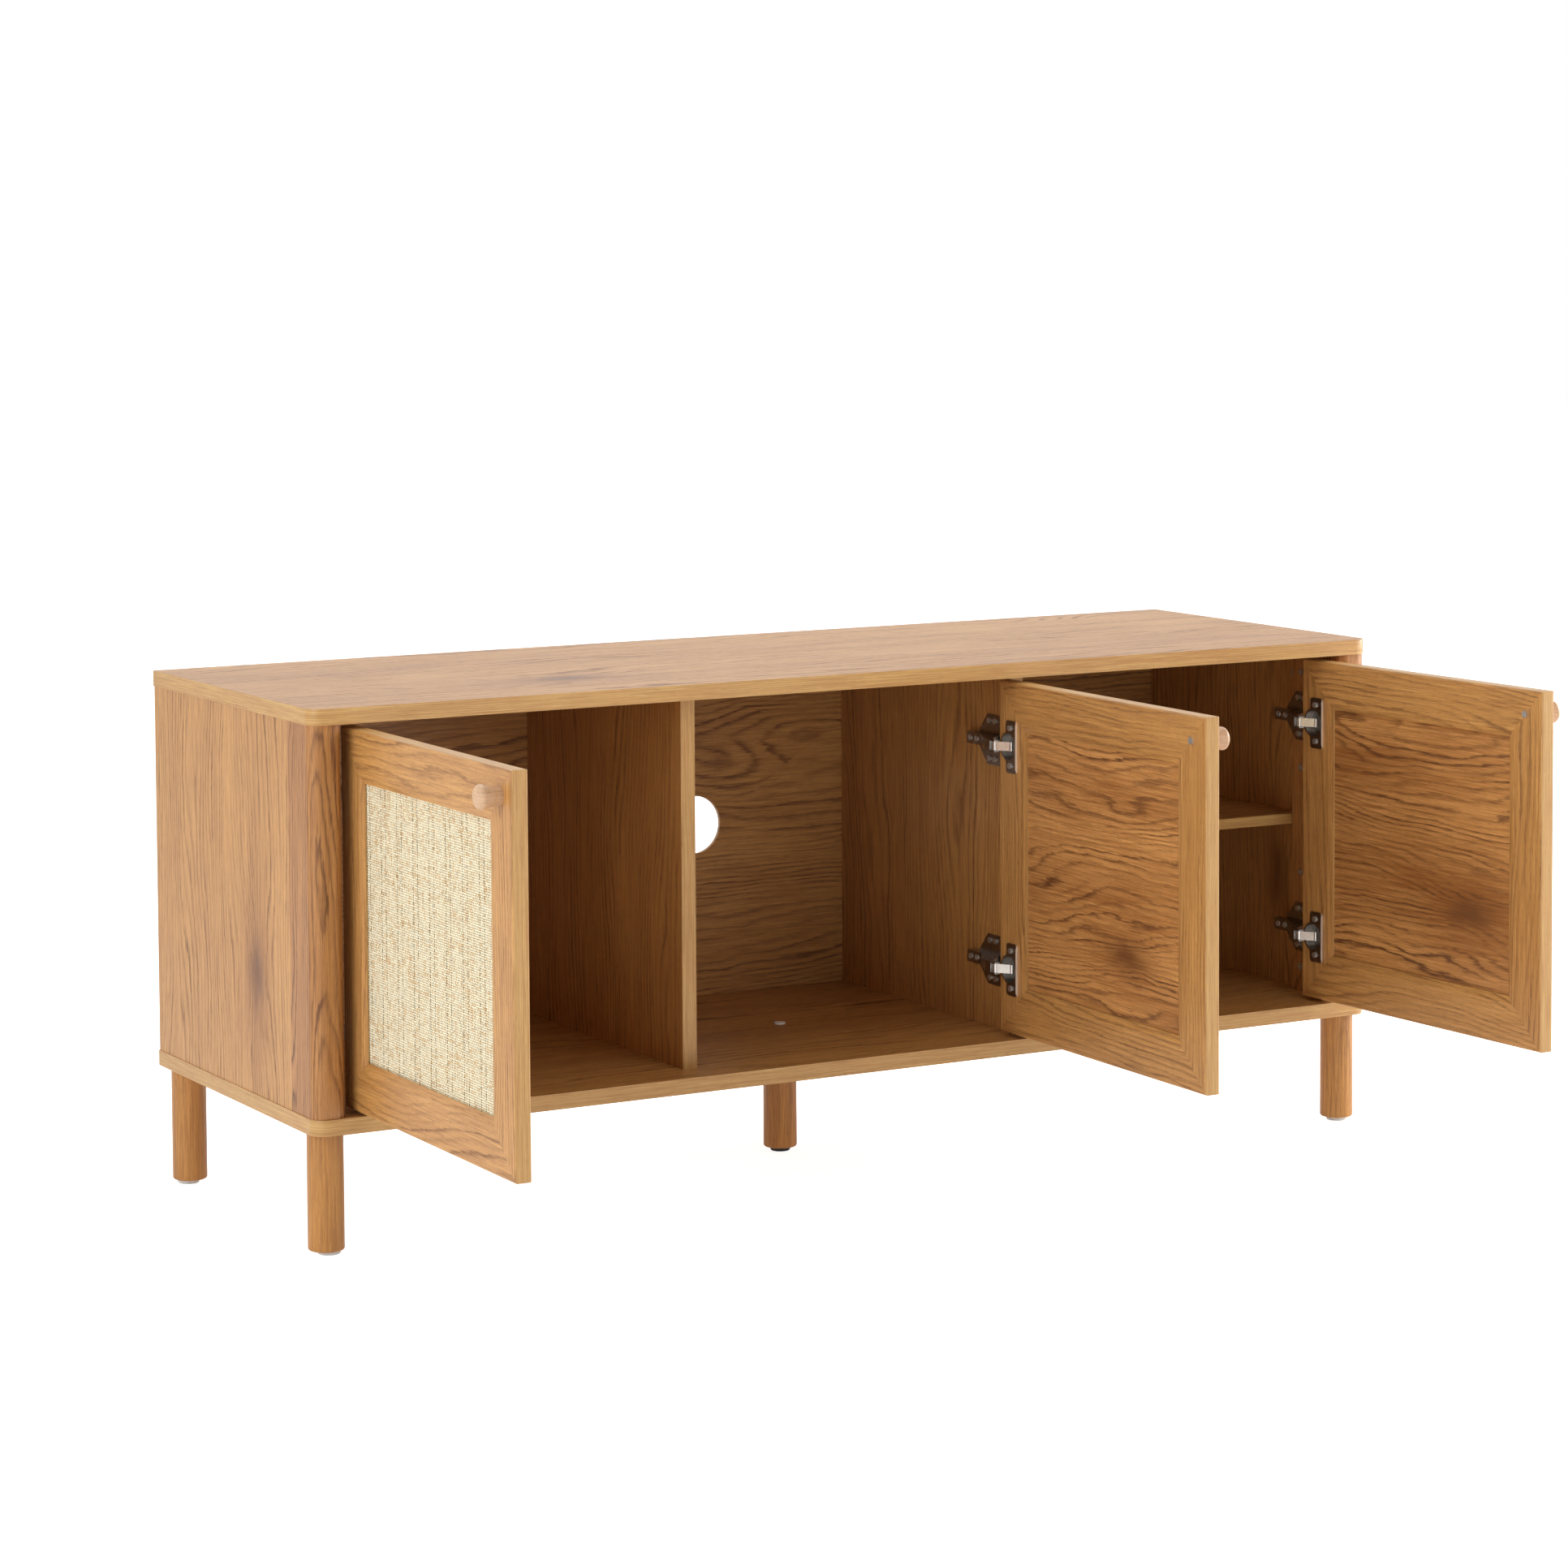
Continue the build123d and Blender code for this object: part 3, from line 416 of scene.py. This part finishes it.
def speckle_group():
    """Moulded plastic: fine stipple and slight unevenness."""
    if "moulded plastic" in bpy.data.node_groups:
        return bpy.data.node_groups["moulded plastic"]
    tree, start, end = new_group(
        "moulded plastic",
        [("Vector", "Vector", None), ("Body", "Color", None), ("Scuffs", "Color", None)],
        [("Color", "Color"), ("Roughness", "Float"), ("Height", "Float")],
    )
    place = start["Vector"]
    scuff = noise(tree, place, (220.0, 220.0, 90.0), 4.0, 0.65)
    scuff = ramp(tree, scuff, [(0.52, 0.0), (0.74, 0.5)])
    tree.links.new(blend_colour(tree, scuff, start["Body"], start["Scuffs"]), end["Color"])
    tree.links.new(calc(tree, "MULTIPLY_ADD", scuff, 0.25, 0.42), end["Roughness"])
    tree.links.new(noise(tree, place, (2200.0, 2200.0, 2200.0), 1.0), end["Height"])
    return tree


# ------------------------------------------------------------------ materials
def blank_material(name):
    """A material whose tree holds only its shader and output."""
    material = bpy.data.materials.new(name)
    material.use_nodes = True
    tree = material.node_tree
    tree.nodes.clear()
    shader = add(tree, "BsdfPrincipled")
    tree.links.new(shader.outputs[0], add(tree, "OutputMaterial").inputs[0])
    return material, tree, shader


def bumped(tree, shader, height, distance, strength=0.6):
    """Let a height shape the shader's normal, distance metres deep."""
    bump = add(tree, "Bump", {"Height": height, "Distance": distance, "Strength": strength})
    tree.links.new(bump.outputs[0], shader.inputs["Normal"])


def grain(tree, vector, colours, **values):
    """An oak-grain group node with its own values."""
    node = add(tree, "Group", node_tree=grain_group())
    tree.links.new(vector, node.inputs["Vector"])
    for label, shade in zip(("Light", "Dark", "Line"), colours):
        node.inputs[label].default_value = rgba(shade)
    for label, value in values.items():
        node.inputs[label.capitalize()].default_value = value
    return node.outputs


def closing_turn(door):
    """The matrix that carries a resting door's points to the shut door."""
    joint = JOINTS[f"door_{door}_swing"]
    shut = math.radians(joint["range_deg"][0]) * joint["axis"][2]
    pivot = Vector(joint["pos_m"])
    return Matrix.Translation(pivot) @ Matrix.Rotation(shut, 4, "Z") @ Matrix.Translation(-pivot)


def shut_vector(tree, socket, door, kind="POINT"):
    """Object coordinates, or a normal, turned with the door to where it is shut."""
    if door is None:
        return socket
    turn = closing_turn(door)
    inputs = {"Vector": socket, "Rotation": (0, 0, turn.to_euler().z)}
    if kind == "POINT":
        inputs["Location"] = turn.to_translation()
    return add(tree, "Mapping", inputs, vector_type=kind).outputs[0]


def reordered(tree, vector, order):
    """The vector's parts in another order, as (along, across, depth)."""
    parts = add(tree, "SeparateXYZ", {0: vector}).outputs
    return [parts["XYZ".index(axis)] for axis in order.upper()]


def oak_material(
    name, order, cut, door=None, offset=(0.0, 0.0), colours=None, edges=True, knot=None
):
    """Foil-covered board. order names the axes along and across the grain and through the
    board, cut is its figure, offset moves it to its own part of the grain, and knot is the
    place of its large knot.

    Faces carry the grain; edges, where the normal leaves the board's depth, carry the
    edge band, whose fine lines run along the edge whichever way it goes.
    """
    oak = bpy.context.scene.cabinet_oak
    material, tree, shader = blank_material(name)
    source = add(tree, "TexCoord").outputs
    along, across, depth = reordered(tree, shut_vector(tree, source["Object"], door), order)
    moved = [calc(tree, "ADD", part, shift) for part, shift in zip((along, across), offset)]
    face_place = add(tree, "CombineXYZ", {0: moved[0], 1: moved[1], 2: depth}).outputs[0]
    face = grain(tree, face_place, colours or (oak.light, oak.dark, oak.line), **cut)
    if knot:
        centre = (knot[0] + offset[0], knot[1] + offset[1], 0)
        face["Color"].node.inputs["Knot"].default_value = centre
    shade, rough, height = face["Color"], face["Roughness"], face["Height"]
    if edges:
        run = calc(tree, "ADD", calc(tree, "ADD", along, across), offset[0])
        edge_place = add(tree, "CombineXYZ", {0: run, 1: depth, 2: offset[1]}).outputs[0]
        edge = grain(tree, edge_place, (oak.edge_light, oak.dark, oak.edge_line), **EDGE_BAND)
        normal = reordered(tree, shut_vector(tree, source["Normal"], door, "NORMAL"), order)[2]
        facing = calc(tree, "ABSOLUTE", normal)
        mask = add(
            tree, "MapRange", {"Value": facing, "From Min": FACE_NORMAL, "From Max": EDGE_NORMAL}
        ).outputs[0]
        shade = blend_colour(tree, mask, shade, edge["Color"])
        rough = blend_value(tree, mask, rough, edge["Roughness"])
        height = blend_value(tree, mask, height, edge["Height"])
    tree.links.new(shade, shader.inputs["Base Color"])
    tree.links.new(rough, shader.inputs["Roughness"])
    shader.inputs["Specular IOR Level"].default_value = OAK_SPECULAR
    bumped(tree, shader, height, oak.bump)
    return material


def metal_material(name, plate, roughness=0.28, stain=0.35, edge=None):
    """Plated metal. edge is the colour of a painted highlight on the edges that face the front."""
    material, tree, shader = blank_material(name)
    node = add(tree, "Group", node_tree=metal_group())
    tree.links.new(add(tree, "TexCoord").outputs["Object"], node.inputs["Vector"])
    node.inputs["Plate"].default_value = rgba(plate)
    node.inputs["Base roughness"].default_value = roughness
    node.inputs["Stain"].default_value = stain
    shade, rough = node.outputs["Color"], node.outputs["Roughness"]
    # Painted highlight: where the normal faces the front (-Y), the colour turns to the pale edge
    # colour. This stands in for the reflection on rolled edges.
    if edge:
        normal = add(tree, "SeparateXYZ", {0: add(tree, "TexCoord").outputs["Normal"]}).outputs["Y"]
        facing = {"Value": normal, "From Min": -0.5, "From Max": -0.8}
        mask = add(tree, "MapRange", facing).outputs[0]
        shade = blend_colour(tree, mask, shade, rgba(edge))
        rough = blend_value(tree, mask, rough, 0.5)
    tree.links.new(shade, shader.inputs["Base Color"])
    tree.links.new(rough, shader.inputs["Roughness"])
    shader.inputs["Metallic"].default_value = 1.0
    bumped(tree, shader, node.outputs["Height"], 0.00002, 0.3)
    return material


def plastic_material(name, body, scuffs):
    """Moulded plastic in a body colour, with scuffs of another."""
    material, tree, shader = blank_material(name)
    node = add(tree, "Group", node_tree=speckle_group())
    tree.links.new(add(tree, "TexCoord").outputs["Object"], node.inputs["Vector"])
    node.inputs["Body"].default_value = rgba(body)
    node.inputs["Scuffs"].default_value = rgba(scuffs)
    tree.links.new(node.outputs["Color"], shader.inputs["Base Color"])
    tree.links.new(node.outputs["Roughness"], shader.inputs["Roughness"])
    bumped(tree, shader, node.outputs["Height"], 0.00003, 0.4)
    return material


def finish_node(name, material, rounding=0.0):
    """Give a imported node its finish, and round its edges a little with modifiers."""
    piece = NODES[name]
    piece.data.materials.clear()
    piece.data.materials.append(material)
    if rounding:
        weld = piece.modifiers.new("merge", "WELD")
        weld.merge_threshold = MERGE_DISTANCE
        flat = piece.modifiers.new("flats", "DECIMATE")
        flat.decimate_type = "DISSOLVE"
        flat.angle_limit = FLAT_ANGLE
        bevel = piece.modifiers.new("edges", "BEVEL")
        bevel.width = rounding
        bevel.segments = 2
        bevel.limit_method = "ANGLE"
        bevel.angle_limit = ROUNDED_ANGLE
        bevel.harden_normals = True


# ------------------------------------------------------------------ numpy meshes
def grid_faces(rows, columns, start, wrap):
    """Quads of a rows x columns grid of points, joined round the columns when wrap is set."""
    steps = columns if wrap else columns - 1
    row, column = np.meshgrid(np.arange(rows - 1), np.arange(steps), indexing="ij")
    a = row * columns + column
    b = row * columns + (column + 1) % columns
    return (np.stack([a, b, b + columns, a + columns], -1).reshape(-1, 4)) + start


def mesh_object(name, points, faces, material, **attributes):
    """A mesh from arrays: faces lists arrays of 3 or 4 columns, attributes a value per point."""
    mesh = bpy.data.meshes.new(name)
    loops = np.concatenate([f.ravel() for f in faces]).astype(np.int32)
    sizes = np.concatenate([np.full(len(f), f.shape[1]) for f in faces]).astype(np.int32)
    mesh.vertices.add(len(points))
    mesh.vertices.foreach_set("co", np.asarray(points, np.float32).ravel())
    mesh.loops.add(len(loops))
    mesh.loops.foreach_set("vertex_index", loops)
    mesh.polygons.add(len(sizes))
    first = np.concatenate([[0], np.cumsum(sizes)[:-1]]).astype(np.int32)
    mesh.polygons.foreach_set("loop_start", first)
    for key, values in attributes.items():
        layer = mesh.attributes.new(key, "FLOAT", "POINT")
        layer.data.foreach_set("value", np.asarray(values, np.float32))
    mesh.update(calc_edges=True)
    mesh.validate()
    mesh.materials.append(material)
    piece = bpy.data.objects.new(name, mesh)
    bpy.context.scene.collection.objects.link(piece)
    return piece


def smooth(piece):
    """Shade every face smoothly."""
    piece.data.polygons.foreach_set("use_smooth", np.ones(len(piece.data.polygons), bool))


def strands(run, cross, depth, width, thickness):
    """Flat strands as three-sided tubes.

    run: places along a strand (n); cross: each strand's place across (m); depth: an m x n
    array of how far each point stands back. The section is a low triangle: two back corners
    half a width to each side, and a front corner half a thickness forward. Returns points as
    (along, across, depth) and the faces, with a cap at both ends.
    """
    count, samples = len(cross), len(run)
    half, deep = width / 2, thickness / 2
    section = np.array([(-half, deep), (0.0, -deep), (half, deep)])
    along = np.broadcast_to(run[None, :, None], (count, samples, 3))
    across = np.broadcast_to(cross[:, None, None] + section[None, None, :, 0], (count, samples, 3))
    back = depth[:, :, None] + section[None, None, :, 1]
    points = np.stack([along, across, back], -1).reshape(-1, 3)
    each = samples * 3
    starts = np.arange(count)[:, None, None] * each
    sides = (grid_faces(samples, 3, 0, True)[None] + starts).reshape(-1, 4)
    caps = np.array([[0, 2, 1], [each - 3, each - 2, each - 1]])
    caps = (caps[None] + starts).reshape(-1, 3)
    return points, [sides, caps]


def warp_places(width, settings):
    """Places of the upright strands: an even pitch, with extra room at every repeat and a
    little less a few strands on."""
    count = int(width / settings.warp_pitch)
    number = np.arange(count)
    phase = number % settings.repeat
    extra = (phase == 0) + SECOND_SHARE * (phase == SECOND_GAP)
    place = number * settings.warp_pitch + np.cumsum(extra) * settings.gap
    place = place[place < width - settings.warp_pitch]
    return place + (width - place[-1]) / 2


# ------------------------------------------------------------------ operators
class CABINET_OT_boards(bpy.types.Operator):
    """Oak foil on the top, bottom, sides, dividers, posts, back and shelf"""

    bl_idname = "cabinet.boards"
    bl_label = "Boards and posts"

    def execute(self, context):
        oak = context.scene.cabinet_oak
        for name, offset, knot in (
            ("top_panel", (0.31, 0.07), (-0.33, -0.10)),
            ("bottom_panel", (3.4, 1.3), None),
            ("shelf", (5.2, 2.1), None),
        ):
            material = oak_material(
                f"oak foil, {name}", "xyz", WIDE_BOARD, offset=offset, knot=knot
            )
            finish_node(name, material, oak.edge_round)
        for index, side in enumerate(("left", "right")):
            material = oak_material(
                f"oak foil, {side} side", "zyx", TALL_BOARD,
                offset=(7.0 + index, 1.7 * index), knot=(0.29, -0.07),
            )
            finish_node(f"side_panel_{side}", material)
            material = oak_material(
                f"oak foil, {side} divider", "zyx", TALL_BOARD, offset=(11.0 + index, 4.1 - index)
            )
            finish_node(f"divider_{side}", material, oak.edge_round)
            material = oak_material(
                f"oak foil, {side} post", "zyx", CORNER_POST, offset=(2.0 - 3.1 * index, 0.63),
                colours=(oak.post_light, oak.post_dark, oak.line), edges=False,
            )
            finish_node(f"corner_post_{side}", material)
        material = oak_material("oak foil, back", "xzy", WIDE_BOARD, offset=(9.0, 6.2), edges=False)
        finish_node("back_panel", material)
        return {"FINISHED"}


class CABINET_OT_doors(bpy.types.Operator):
    """Oak foil on the door frames and on the boards behind the cane"""

    bl_idname = "cabinet.doors"
    bl_label = "Door frames and boards"

    def execute(self, context):
        oak = context.scene.cabinet_oak
        knots = {"left": (-0.40, 0.40), "middle": (-0.051, 0.285), "right": (0.35, 0.30)}
        for index, door in enumerate(DOORS):
            for piece, order, shift in (("stiles", "zxy", 1.3), ("rails", "xzy", 4.7)):
                material = oak_material(
                    f"oak foil, {door} door {piece}", order, DOOR_MEMBER, door,
                    (shift + 2.9 * index, 0.5 * index),
                )
                finish_node(f"door_{door}_{piece}", material)
            material = oak_material(
                f"oak foil, {door} door board", "xzy", DOOR_BOARD, door,
                (0.9 + 1.7 * index, 8.3 + 0.37 * index),
                colours=(oak.panel_light, oak.panel_dark, oak.line), edges=False, knot=knots[door],
            )
            finish_node(f"door_{door}_backing_panel", material)
        return {"FINISHED"}


class CABINET_OT_cane(bpy.types.Operator):
    """Weave the cane fronts, strand by strand"""

    bl_idname = "cabinet.cane"
    bl_label = "Woven cane"

    def material(self, settings):
        """Strands from grey through pale to tan, with painted shade where the attribute says a
        strand dips into a gap.
        """
        material, tree, shader = blank_material("woven cane")
        strand = add(tree, "Attribute", attribute_name="strand").outputs["Fac"]
        place = add(tree, "TexCoord").outputs["Object"]
        mottle = noise(tree, place, (300.0, 300.0, 300.0), 2.0)
        lowered = calc(tree, "SUBTRACT", strand, 0.15)
        tint = calc(tree, "MULTIPLY_ADD", mottle, 0.3, lowered, clamp=True)
        node = add(tree, "ValToRGB", {0: tint})
        grey, pale, tan = settings.grey, settings.pale, settings.tan
        stops = ((0.05, grey), (0.30, pale), (0.62, pale), (0.88, tan))
        for _ in stops[2:]:
            node.color_ramp.elements.new(0.5)
        for element, (at, tone) in zip(node.color_ramp.elements, stops):
            element.position = at
            element.color = rgba(tone)
        # Painted shade: the strand goes dark where it dips into a gap, by the share kept in this
        # attribute.
        dark = add(tree, "Attribute", attribute_name="painted_hole_shade").outputs["Fac"]
        shade = blend_colour(tree, dark, node.outputs[0], rgba(settings.painted_hole_shade))
        tree.links.new(shade, shader.inputs["Base Color"])
        fibre = noise(tree, place, (900.0, 900.0, 900.0), 2.0)
        tree.links.new(calc(tree, "MULTIPLY_ADD", fibre, 0.25, 0.5), shader.inputs["Roughness"])
        bumped(tree, shader, fibre, 0.0001)
        return material

    def execute(self, context):
        settings = context.scene.cabinet_weave
        material = self.material(settings)
        random = np.random.default_rng(7)

        def dashes(count, samples, run):
            """Random tints along each strand, changing every run crossings from a random start."""
            place = (np.arange(samples)[None, :] + random.integers(0, run, count)[:, None]) // run
            tint = random.random((count, samples // run + 2))
            tint = np.take_along_axis(tint, place, 1)
            return 0.75 * tint + 0.25 * random.random(count)[:, None]

        for door in DOORS:
            turn = np.array(closing_turn(door))
            source = NODES[f"door_{door}_rattan_panel"].data
            points = np.empty(len(source.vertices) * 3, np.float32)
            source.vertices.foreach_get("co", points)
            shut = points.reshape(-1, 3) @ turn[:3, :3].T + turn[:3, 3]
            low, high = shut.min(0), shut.max(0)
            middle = (low[1] + high[1]) / 2
            lift = (high[1] - low[1]) / 4 - settings.strand / 4
            uprights = low[0] + warp_places(high[0] - low[0], settings)
            rows = np.arange(low[2] + settings.weft_pitch / 2, high[2], settings.weft_pitch)
            number = np.arange(-0.5, len(uprights) - 0.25, 0.5)
            run = np.interp(number, np.arange(len(uprights)), uprights)
            run[0], run[-1] = low[0], high[0]
            wave = np.cos(math.pi * (number[None, :] + np.arange(len(rows))[:, None]))
            depth = middle + lift * wave
            weft, weft_faces = strands(run, rows, depth, settings.weft_width, settings.strand)
            weft = weft[:, [0, 2, 1]]
            step = np.arange(-0.5, len(rows) - 0.25, 0.5)
            rise = np.interp(step, np.arange(len(rows)), rows)
            rise[0], rise[-1] = low[2], high[2]
            wave = -np.cos(math.pi * (step[None, :] + np.arange(len(uprights))[:, None]))
            depth = middle + lift * wave
            warp, warp_faces = strands(rise, uprights, depth, settings.warp_width, settings.strand)
            warp = warp[:, [1, 2, 0]]
            back = np.linalg.inv(turn)
            wide = np.diff(uprights, prepend=uprights[0]) > settings.warp_pitch * WIDE_STEP
            # Painted shade for the rows of small holes: a random share at each weft crossing beside
            # a wide gap.
            hole_shade_share = random.random((len(rows), len(uprights))) * HOLE_SHADE_GAIN - HOLE_SHADE_CUT
            painted_hole_shade = np.zeros((len(rows), len(number)))
            painted_hole_shade[:, 0:2 * len(uprights):2] = wide * np.clip(hole_shade_share, 0, 1)
            weft_tint = dashes(len(rows), len(number), WEFT_DASH)
            warp_tint = dashes(len(uprights), len(step), WARP_DASH)
            warp_faces = [face[:, ::-1] for face in warp_faces]
            # dark carries the painted hole shade; the warp gets none.
            for label, shape, faces, tint, dark in (
                ("weft", weft, weft_faces, weft_tint, painted_hole_shade),
                ("warp", warp, warp_faces, warp_tint, np.zeros(warp_tint.shape)),
            ):
                resting = shape @ back[:3, :3].T + back[:3, 3]
                shades = {"strand": np.repeat(tint, 3), "painted_hole_shade": np.repeat(dark, 3)}
                piece = mesh_object(f"door_{door}_cane_{label}", resting, faces, material, **shades)
                smooth(piece)
                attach(piece, f"door_{door}")
            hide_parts(f"door_{door}_rattan_panel")
        return {"FINISHED"}


class CABINET_OT_fittings(bpy.types.Operator):
    """Finishes for hinges, screws, knobs and hidden fittings"""

    bl_idname = "cabinet.fittings"
    bl_label = "Hinges and knobs"

    def execute(self, context):
        look = context.scene.cabinet_fittings
        # The last colour is a painted highlight on the front-facing edges of the arms, plates and
        # cups.
        nickel = metal_material("dark nickel", look.nickel, 0.16, 0.25, (0.95, 0.94, 0.92))
        bright = metal_material("bright nickel", look.bright, 0.16, 0.08)
        zinc = metal_material("zinc plate", look.zinc, 0.34, 0.25)
        for name in ("hinge_arms", "hinge_plates"):
            finish_node(name, nickel)
        for name in (
            "hinge_plate_screws", "hinge_arm_screws", "hinge_link_pins", "post_screws", "cam_locks",
            "cam_bolts", "deck_screws", "leg_bolts", "leg_inserts", "shelf_pins",
        ):
            finish_node(name, zinc)
        knob, tree, shader = blank_material("turned beech")
        place = add(tree, "TexCoord").outputs["Object"]
        along = add(tree, "CombineXYZ", dict(enumerate(reordered(tree, place, "xzy")))).outputs[0]
        light = tuple(look.knob)
        dark = tuple(part * 0.72 for part in light)
        line = tuple(part * 0.45 for part in light)
        wood = grain(tree, along, (light, dark, line), **KNOB_WOOD)
        tree.links.new(wood["Color"], shader.inputs["Base Color"])
        tree.links.new(wood["Roughness"], shader.inputs["Roughness"])
        shader.inputs["Coat Weight"].default_value = 0.25
        shader.inputs["Coat Roughness"].default_value = 0.3
        bumped(tree, shader, wood["Height"], 0.00008)
        for door in DOORS:
            finish_node(f"door_{door}_hinge_cups", nickel)
            finish_node(f"door_{door}_hinge_links", bright)
            finish_node(f"door_{door}_cup_screws", zinc)
            finish_node(f"door_{door}_knob_screw", zinc)
            finish_node(f"door_{door}_knob", knob)
        dowel = oak_material(
            "dowel beech", "zyx", DOWEL_WOOD, colours=(light, dark, line), edges=False
        )
        finish_node("panel_dowels", dowel)
        finish_node("centre_bolt_cap", plastic_material("cap plastic", look.cap, (0.5, 0.48, 0.44)))
        return {"FINISHED"}


class CABINET_OT_legs(bpy.types.Operator):
    """Finishes for the legs, glides and levelling foot"""

    bl_idname = "cabinet.legs"
    bl_label = "Legs and feet"

    def execute(self, context):
        look = context.scene.cabinet_fittings
        oak = context.scene.cabinet_oak
        places = ("front_left", "front_right", "rear_left", "rear_right", "centre")
        for index, place in enumerate(places):
            wood = oak_material(
                f"stained leg, {place}", "zyx", LEG_WOOD, offset=(3.3 * index, 0.9 * index),
                colours=(look.leg_light, look.leg_dark, oak.line), edges=False,
            )
            finish_node(f"leg_{place}", wood)
        pale = plastic_material("pale nylon", look.glide, (0.42, 0.40, 0.37))
        finish_node("leg_glides", pale)
        black = plastic_material("black nylon", look.foot, (0.05, 0.05, 0.05))
        finish_node("centre_leveller", black)
        return {"FINISHED"}


class CABINET_OT_stage(bpy.types.Operator):
    """Camera, softboxes and a plain pale floor"""

    bl_idname = "cabinet.stage"
    bl_label = "Stage"

    def camera(self, settings):
        """The camera, turned by heading, then tilt, then roll."""
        yaw, pitch, roll = settings.turn
        level = math.cos(pitch)
        ahead = Vector((math.sin(yaw) * level, math.cos(yaw) * level, -math.sin(pitch)))
        right = Vector((math.cos(yaw), -math.sin(yaw), 0))
        up = right.cross(ahead)
        across = math.cos(roll) * right + math.sin(roll) * up
        above = math.cos(roll) * up - math.sin(roll) * right
        data = bpy.data.cameras.new("camera")
        data.lens = settings.lens
        data.sensor_width = 36.0
        data.shift_y = settings.shift
        data.clip_start, data.clip_end = 0.05, 60.0
        camera = bpy.data.objects.new("camera", data)
        turn = Matrix((across, above, -ahead)).transposed().to_4x4()
        camera.matrix_world = Matrix.Translation(Vector(settings.camera)) @ turn
        bpy.context.scene.collection.objects.link(camera)
        bpy.context.scene.camera = camera

    def softbox(self, name, place, aim, size, watts):
        """A rectangular light at a place, aimed at a point."""
        data = bpy.data.lights.new(name, "AREA")
        data.shape = "RECTANGLE"
        data.size, data.size_y = size
        data.energy = watts
        light = bpy.data.objects.new(name, data)
        light.location = place
        light.rotation_euler = (Vector(aim) - Vector(place)).to_track_quat("-Z", "Y").to_euler()
        bpy.context.scene.collection.objects.link(light)

    def floor(self, strength):
        """White paper under the legs, plain white to the camera."""
        material, tree, shader = blank_material("floor paper")
        shader.inputs["Base Color"].default_value = (0.93, 0.93, 0.93, 1)
        shader.inputs["Roughness"].default_value = 0.9
        shader.inputs["Emission Color"].default_value = (1, 1, 1, 1)
        seen = add(tree, "LightPath").outputs["Is Camera Ray"]
        tree.links.new(blend_value(tree, seen, strength, 0.8), shader.inputs["Emission Strength"])
        corners = [(-1, -1, 0), (1, -1, 0), (1, 1, 0), (-1, 1, 0)]
        points = np.array(corners) * FLOOR_REACH - (0, 0, FLOOR_DROP)
        floor = mesh_object("floor", points, [np.array([[0, 1, 2, 3]])], material)

    def room(self, front, back):
        """Even light that grows from the front of the room to the back."""
        world = bpy.data.worlds.new("room")
        bpy.context.scene.world = world
        world.use_nodes = True
        tree = world.node_tree
        tree.nodes.clear()
        direction = add(tree, "TexCoord").outputs["Generated"]
        away = add(tree, "SeparateXYZ", {0: direction}).outputs["Y"]
        level = add(
            tree, "MapRange",
            {"Value": away, "From Min": -0.3, "From Max": 0.6, "To Min": front, "To Max": back},
        ).outputs[0]
        seen = add(tree, "LightPath").outputs["Is Camera Ray"]
        level = blend_value(tree, seen, level, 1.0)
        shade = add(tree, "Background", {"Color": (1, 1, 1, 1), "Strength": level})
        tree.links.new(shade.outputs[0], add(tree, "OutputWorld").inputs[0])

    def execute(self, context):
        settings = context.scene.cabinet_stage
        self.camera(settings)
        self.softbox("side light", (-3.6, -1.3, 1.5), CABINET_AIM, (2.2, 2.2), settings.side_light)
        top_aim = (0.0, 0.0, 0.4)
        self.softbox("top light", (-0.3, 0.1, 3.0), top_aim, (3.2, 2.2), settings.top_light)
        front_aim = (0.1, -0.2, 0.35)
        self.softbox("front light", (0.6, -4.2, 1.7), front_aim, (2.6, 2.0), settings.front_light)
        self.floor(settings.paper)
        self.softbox("right light", (4.0, -1.2, 1.4), CABINET_AIM, (2.2, 2.2), settings.right_light)
        self.room(settings.room_front, settings.room_back)
        context.scene.view_settings.view_transform = "Standard"
        context.scene.view_settings.look = "None"
        return {"FINISHED"}


class CABINET_PT_panel(bpy.types.Panel):
    """Lists the cabinet's operators and settings"""

    bl_idname = "CABINET_PT_panel"
    bl_label = "Media cabinet"
    bl_space_type = "VIEW_3D"
    bl_region_type = "UI"
    bl_category = "Cabinet"

    def draw(self, context):
        for operator in OPERATORS:
            self.layout.operator(operator.bl_idname)
        for name in SETTINGS:
            box = self.layout.box()
            group = getattr(context.scene, name)
            for key in group.bl_rna.properties.keys():
                if key not in {"rna_type", "name"}:
                    box.prop(group, key)


SETTINGS = {
    "cabinet_oak": CabinetOakSettings,
    "cabinet_weave": CabinetWeaveSettings,
    "cabinet_fittings": CabinetFittingSettings,
    "cabinet_stage": CabinetStageSettings,
}
OPERATORS = (
    CABINET_OT_stage,
    CABINET_OT_boards,
    CABINET_OT_doors,
    CABINET_OT_cane,
    CABINET_OT_fittings,
    CABINET_OT_legs,
)


def register():
    for kind in (*SETTINGS.values(), *OPERATORS, CABINET_PT_panel):
        bpy.utils.register_class(kind)
    for name, kind in SETTINGS.items():
        setattr(bpy.types.Scene, name, bpy.props.PointerProperty(type=kind))


def unregister():
    for name in SETTINGS:
        delattr(bpy.types.Scene, name)
    for kind in reversed((*SETTINGS.values(), *OPERATORS, CABINET_PT_panel)):
        bpy.utils.unregister_class(kind)


def main():
    register()
    for operator in OPERATORS:
        group, name = operator.bl_idname.split(".")
        getattr(getattr(bpy.ops, group), name)()


if __name__ == "__main__":
    main()
